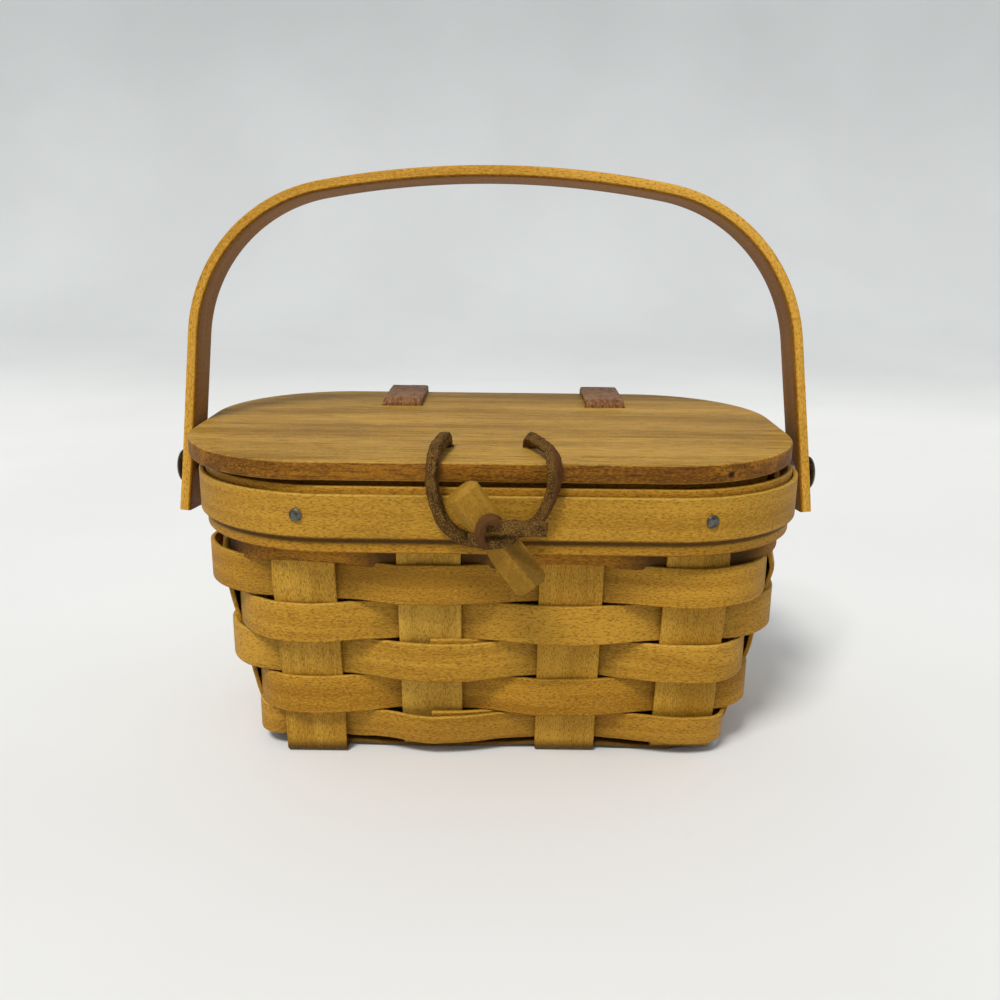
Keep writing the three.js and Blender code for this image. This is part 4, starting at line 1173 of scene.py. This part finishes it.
def strap(name, x):
    gap = STRAP_THICKNESS / 2 + CLEARANCE / 2
    layer = RIM_FACE + gap
    next_layer = layer + STRAP_THICKNESS + CLEARANCE
    end_height = TACK_HEIGHT - STRAP_END_DROP
    lid_x = x - LID_SHIFT
    rim_corner = rim_point(BACK, -x, WALL_HEIGHT, RIM_FACE)
    inner_corner = wall_point(BACK, -x, INNER_BAND_TOP, INNER_BAND_OUTSIDE)
    slot_back = SLOT_Y + gap
    route = [
        rim_point(BACK, -x, end_height, layer),
        rim_point(BACK, -x, TACK_HEIGHT, layer),
        *reversed(quarter_turn(rim_corner, gap, pi / 2)),
        inner_corner + Vector((0, gap / 2, gap)),
        inner_corner + Vector((0, -2 * gap, gap)),
        *quarter_turn(on_lid(lid_x, slot_back, 0), gap, pi * 3 / 2),
        *quarter_turn(on_lid(lid_x, slot_back, LID_THICKNESS), gap, pi),
        *quarter_turn(on_lid(lid_x, LID_DEPTH / 2, LID_THICKNESS), gap, pi / 2),
        rim_point(BACK, -x, WALL_HEIGHT + gap, next_layer + CLEARANCE),
        rim_point(BACK, -x, TACK_HEIGHT, next_layer),
        rim_point(BACK, -x, end_height, next_layer),
    ]
    path = smooth_path([Vector((x, p.y, p.z)) for p in route], STRAP_SPACING)
    return swept(name, path, STRAP_SECTION, (1, 0, 0), STRAP_ROUGH)


for side, x in zip(("left", "right"), STRAP_X):
    node = f"hinge_strap_{side}"
    piece = strap(f"{node}_leather", x)
    to_frame(STRAP_BLEND_START)
    to_frame(STRAP_BLEND_END)
    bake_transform(piece)
    paint(piece, "strap_leather")
    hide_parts(node)


# Closure loop: a lace knotted under the lid, through both holes, over the edge and down behind the peg

neck_point = rim_point(FRONT, NECK_X, NECK_HEIGHT, RIM_FACE)


def loop_branch(side, skew):
    branch = [on_lid(hole_x(side), LACE_Y, z) for z in (LACE_END_HEIGHT, LID_THICKNESS / 2)]
    for outward, forward, rise in LOOP_OVER_LID:
        branch.append(on_lid(hole_x(side) + side * outward * skew, LACE_Y - forward, LID_THICKNESS + rise))
    return branch


def loop_route():
    bight = [neck_point + Vector((right, -ahead, rise)) for right, ahead, rise in LOOP_BIGHT]
    return [*loop_branch(-1, 1), *bight, *reversed(loop_branch(1, LOOP_SKEW))]


def loop_bend(place):
    """The frame's point for a place ahead of the lace's holes and above the lid's underside."""
    forward, rise = place
    return to_frame(on_lid(0, LACE_Y - forward, rise))


def knot(name, centre, axis):
    """A tight overhand knot: a trefoil of cord."""
    turn = turn_to(axis)
    path = []
    for t in turns_of(KNOT_STEPS):
        x = sin(t) + 2 * sin(2 * t)
        y = cos(t) - 2 * cos(2 * t)
        local = Vector((x, y, -KNOT_RISE * sin(3 * t)))
        path.append(turn @ (local * KNOT_SCALE) + Vector(centre))
    return swept(name, [*path, path[0]], KNOT_SECTION, KNOT_ACROSS, KNOT_ROUGH)


def lace_twist(share):
    """The right half of the loop turns its smooth outer face towards the front."""
    turn = clamp((share - LACE_TWIST_FROM) / LACE_TWIST_RUN)
    return LACE_TWIST * turn * turn * (3 - 2 * turn)


lace_path = smooth_path(loop_route(), LACE_SPACING)
smooth_face = [float(deep > LACE_THICKNESS * LACE_FACE_SHARE) for _, deep in outline_of(*LACE_SECTION)]
lace = swept("closure_loop_lace", lace_path, LACE_SECTION, (0, 1, 0), LACE_ROUGH, smooth_face, lace_twist)
loop_bend(LOOP_BLEND_START)
loop_bend(LOOP_BLEND_END)
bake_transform(lace)
paint(lace, "lace_leather")
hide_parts("closure_loop")
for side, sign in ENDS:
    piece = knot(f"closure_knot_{side}", on_lid(hole_x(sign), LACE_Y, KNOT_HEIGHT), (0, 0, 1))
    paint(piece, "lace_leather")
    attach(piece, "lid")
to_frame(lace_path[0])
[to_frame(p) for p in lace_path]


# Toggle: a whittled peg in a ring of lace, hung from a neck that passes through the rim

peg_y = neck_point.y - TOGGLE_ROOM - PEG_RADIUS
waist = Vector((NECK_X, peg_y, NECK_HEIGHT)) + Vector(PEG_SHIFT)
peg_down = Vector((sin(PEG_TILT), 0, -cos(PEG_TILT)))
peg_across = Vector((cos(PEG_TILT), 0, sin(PEG_TILT)))


def pared(angle, along):
    """How far from the axis the knife left the wood at an angle, and the painted shade there."""
    cut, facet_shade = inf, 0.0
    ramp = clamp((along - PARED_FROM) / PARED_RUN)
    for facing, share, facet_shade_share in PARED_FACES:
        lean = cos(angle - facing)
        if lean > PARED_SPREAD:
            reach = PEG_RADIUS * (1 - share * ramp) / lean
            if reach < min(cut, PEG_RADIUS):
                cut, facet_shade = reach, facet_shade_share
    return cut, facet_shade


def whittled(angle, along):
    x, y = PEG_WHITTLE_TURN * cos(angle), PEG_WHITTLE_TURN * sin(angle)
    return PEG_WHITTLE * noise.noise(Vector((x, y, along * PEG_WHITTLE_RATE)))


def peg():
    """Rings down the peg; the front of its lower end is pared to a slope."""
    top, bottom = -PEG_WAIST, PEG_LENGTH - PEG_WAIST
    points, grain, darkening = [], [], []
    heights = np.linspace(top, bottom, PEG_RINGS)
    for along in [top, *heights, bottom]:
        ends = min(along - top, bottom - along)
        carved = WAIST_DEPTH * exp(-((along - RING_DROP) / WAIST_REACH) ** 2)
        radius = PEG_RADIUS - max(0, PEG_CHAMFER - ends) - carved
        slope = -PEG_RADIUS + (along - bottom + PEG_CHISEL_LENGTH) * tan(PEG_CHISEL)
        for angle in turns_of(ROUND_SIDES):
            cut, facet_shade = pared(angle, along)
            reach = min(radius + whittled(angle, along), cut)
            wide = reach * cos(angle)
            deep = max(reach * sin(angle), slope)
            points.append(waist + peg_down * along + peg_across * wide + Vector((0, deep, 0)))
            grain.append((along, wide, deep))
            darkening.append(facet_shade)
    faces = ring_faces(PEG_RINGS + 2, ROUND_SIDES)
    return build("toggle_peg_wood", points, faces, grain, mark=darkening, sharp=PEG_SHARP_ANGLE)


def toggle_ring():
    """A ring of lace that lies less steeply than the peg and dips at the front."""
    centre = waist + peg_down * RING_DROP
    across = Vector((cos(RING_TILT), 0, sin(RING_TILT)))
    back = Vector((0, cos(RING_NOD), sin(RING_NOD)))
    turns = turns_of(ROUND_SIDES)
    path = [centre + (across * cos(t) + back * sin(t)) * RING_RADIUS for t in turns]
    return swept("toggle_ring_lace", [*path, path[0]], RING_SECTION, back.cross(across), RING_ROUGH)


def before_ring(route):
    front = Vector((NECK_X, peg_y - PEG_RADIUS - RING_THICKNESS, NECK_HEIGHT))
    return smooth_path([front + Vector((right, -ahead, rise)) for right, ahead, rise in route], LACE_SPACING)


neck_start = Vector((NECK_X, peg_y + PEG_RADIUS + NECK_START, NECK_HEIGHT))
neck_stop = wall_point(FRONT, NECK_X, NECK_HEIGHT, INNER_BAND_INSIDE - CLEARANCE - NECK_STOP)
neck_path = smooth_path([neck_start, neck_stop], LACE_SPACING)
dress(peg(), "peg_wood", "toggle", "toggle_peg")
dress(toggle_ring(), "lace_leather", "toggle", "toggle_lace")
toggle_laces = [
    swept("toggle_curl_lace", before_ring(CURL_ROUTE), CURL_SECTION, CURL_ACROSS, CURL_ROUGH, 1.0),
    swept("toggle_tail_lace", before_ring(TAIL_ROUTE), TAIL_SECTION, (0, 0, 1), TOGGLE_ROUGH),
    swept("toggle_neck_lace", neck_path, NECK_SECTION, (0, 0, 1), TOGGLE_ROUGH),
    knot("toggle_stop_knot", neck_stop, (0, 1, 0)),
]
for piece in toggle_laces:
    dress(piece, "lace_leather", "toggle")


# Stage

def sweep():
    """Paper that lies flat under the basket and curves up far behind it, where painted shade makes it darker.
    """
    profile = [(-SWEEP_REACH, 0), (BACKDROP_START, 0), (SWEEP_BACK, 0)]
    for k in range(1, SWEEP_STEPS + 1):
        angle = pi / 2 * k / SWEEP_STEPS
        profile.append((SWEEP_BACK + SWEEP_RADIUS * sin(angle), SWEEP_RADIUS * (1 - cos(angle))))
    profile.append((profile[-1][0], SWEEP_REACH))
    points = [(side * SWEEP_REACH, y, z) for y, z in profile for side in (-1, 1)]
    faces = [(2 * k, 2 * k + 1, 2 * k + 3, 2 * k + 2) for k in range(len(profile) - 1)]
    marks = [clamp((y - BACKDROP_START) / (BACKDROP_FULL - BACKDROP_START)) for _, y, _ in points]
    piece = build("paper_sweep", points, faces, mark=marks)
    made, tree, surface = material("paper")
    cloud = speckle(tree, attribute(tree, "grain", "Vector"), PAPER_SCALE, detail=3)
    shade = spread(tree, cloud, WIDE_RANGE, PAPER_SHADES)
    paper = mixed(tree, attribute(tree, "mark", "Fac"), rgb(FLOOR_COLOUR), rgb(BACKDROP_SHADE_COLOUR))
    colour = put(tree, "HueSaturation", {"Color": paper, "Value": shade})
    feed(tree, surface, {"Base Color": colour, "Roughness": PAPER_ROUGHNESS})
    piece.data.materials.append(made)


def studio():
    world = bpy.data.worlds.new("studio")
    world.use_nodes = True
    background = world.node_tree.nodes["Background"]
    background.inputs["Color"].default_value = rgb(WORLD_COLOUR)
    background.inputs["Strength"].default_value = WORLD_STRENGTH
    bpy.context.scene.world = world
    data = bpy.data.lights.new("key", "SUN")
    data.angle = KEY_ANGLE
    data.energy = KEY_STRENGTH
    data.color = KEY_COLOUR
    lamp = bpy.data.objects.new("key", data)
    lamp.rotation_mode = "QUATERNION"
    lamp.rotation_quaternion = Vector(KEY_FROM).to_track_quat("Z", "Y")
    bpy.context.scene.collection.objects.link(lamp)


def camera():
    data = bpy.data.cameras.new("camera")
    data.sensor_width = SENSOR_WIDTH
    data.lens = CAMERA_LENS
    made = bpy.data.objects.new("camera", data)
    bpy.context.scene.collection.objects.link(made)
    place = Matrix.Translation(to_frame(CAMERA_PLACE))
    heading = Matrix.Rotation(-CAMERA_YAW, 4, "Z")
    tilt = Matrix.Rotation(pi / 2 - CAMERA_PITCH, 4, "X")
    made.matrix_world = place @ heading @ tilt @ Matrix.Rotation(CAMERA_ROLL, 4, "Z")
    bpy.context.scene.camera = made


sweep()
studio()
camera()
bpy.context.scene.view_settings.view_transform = "Standard"
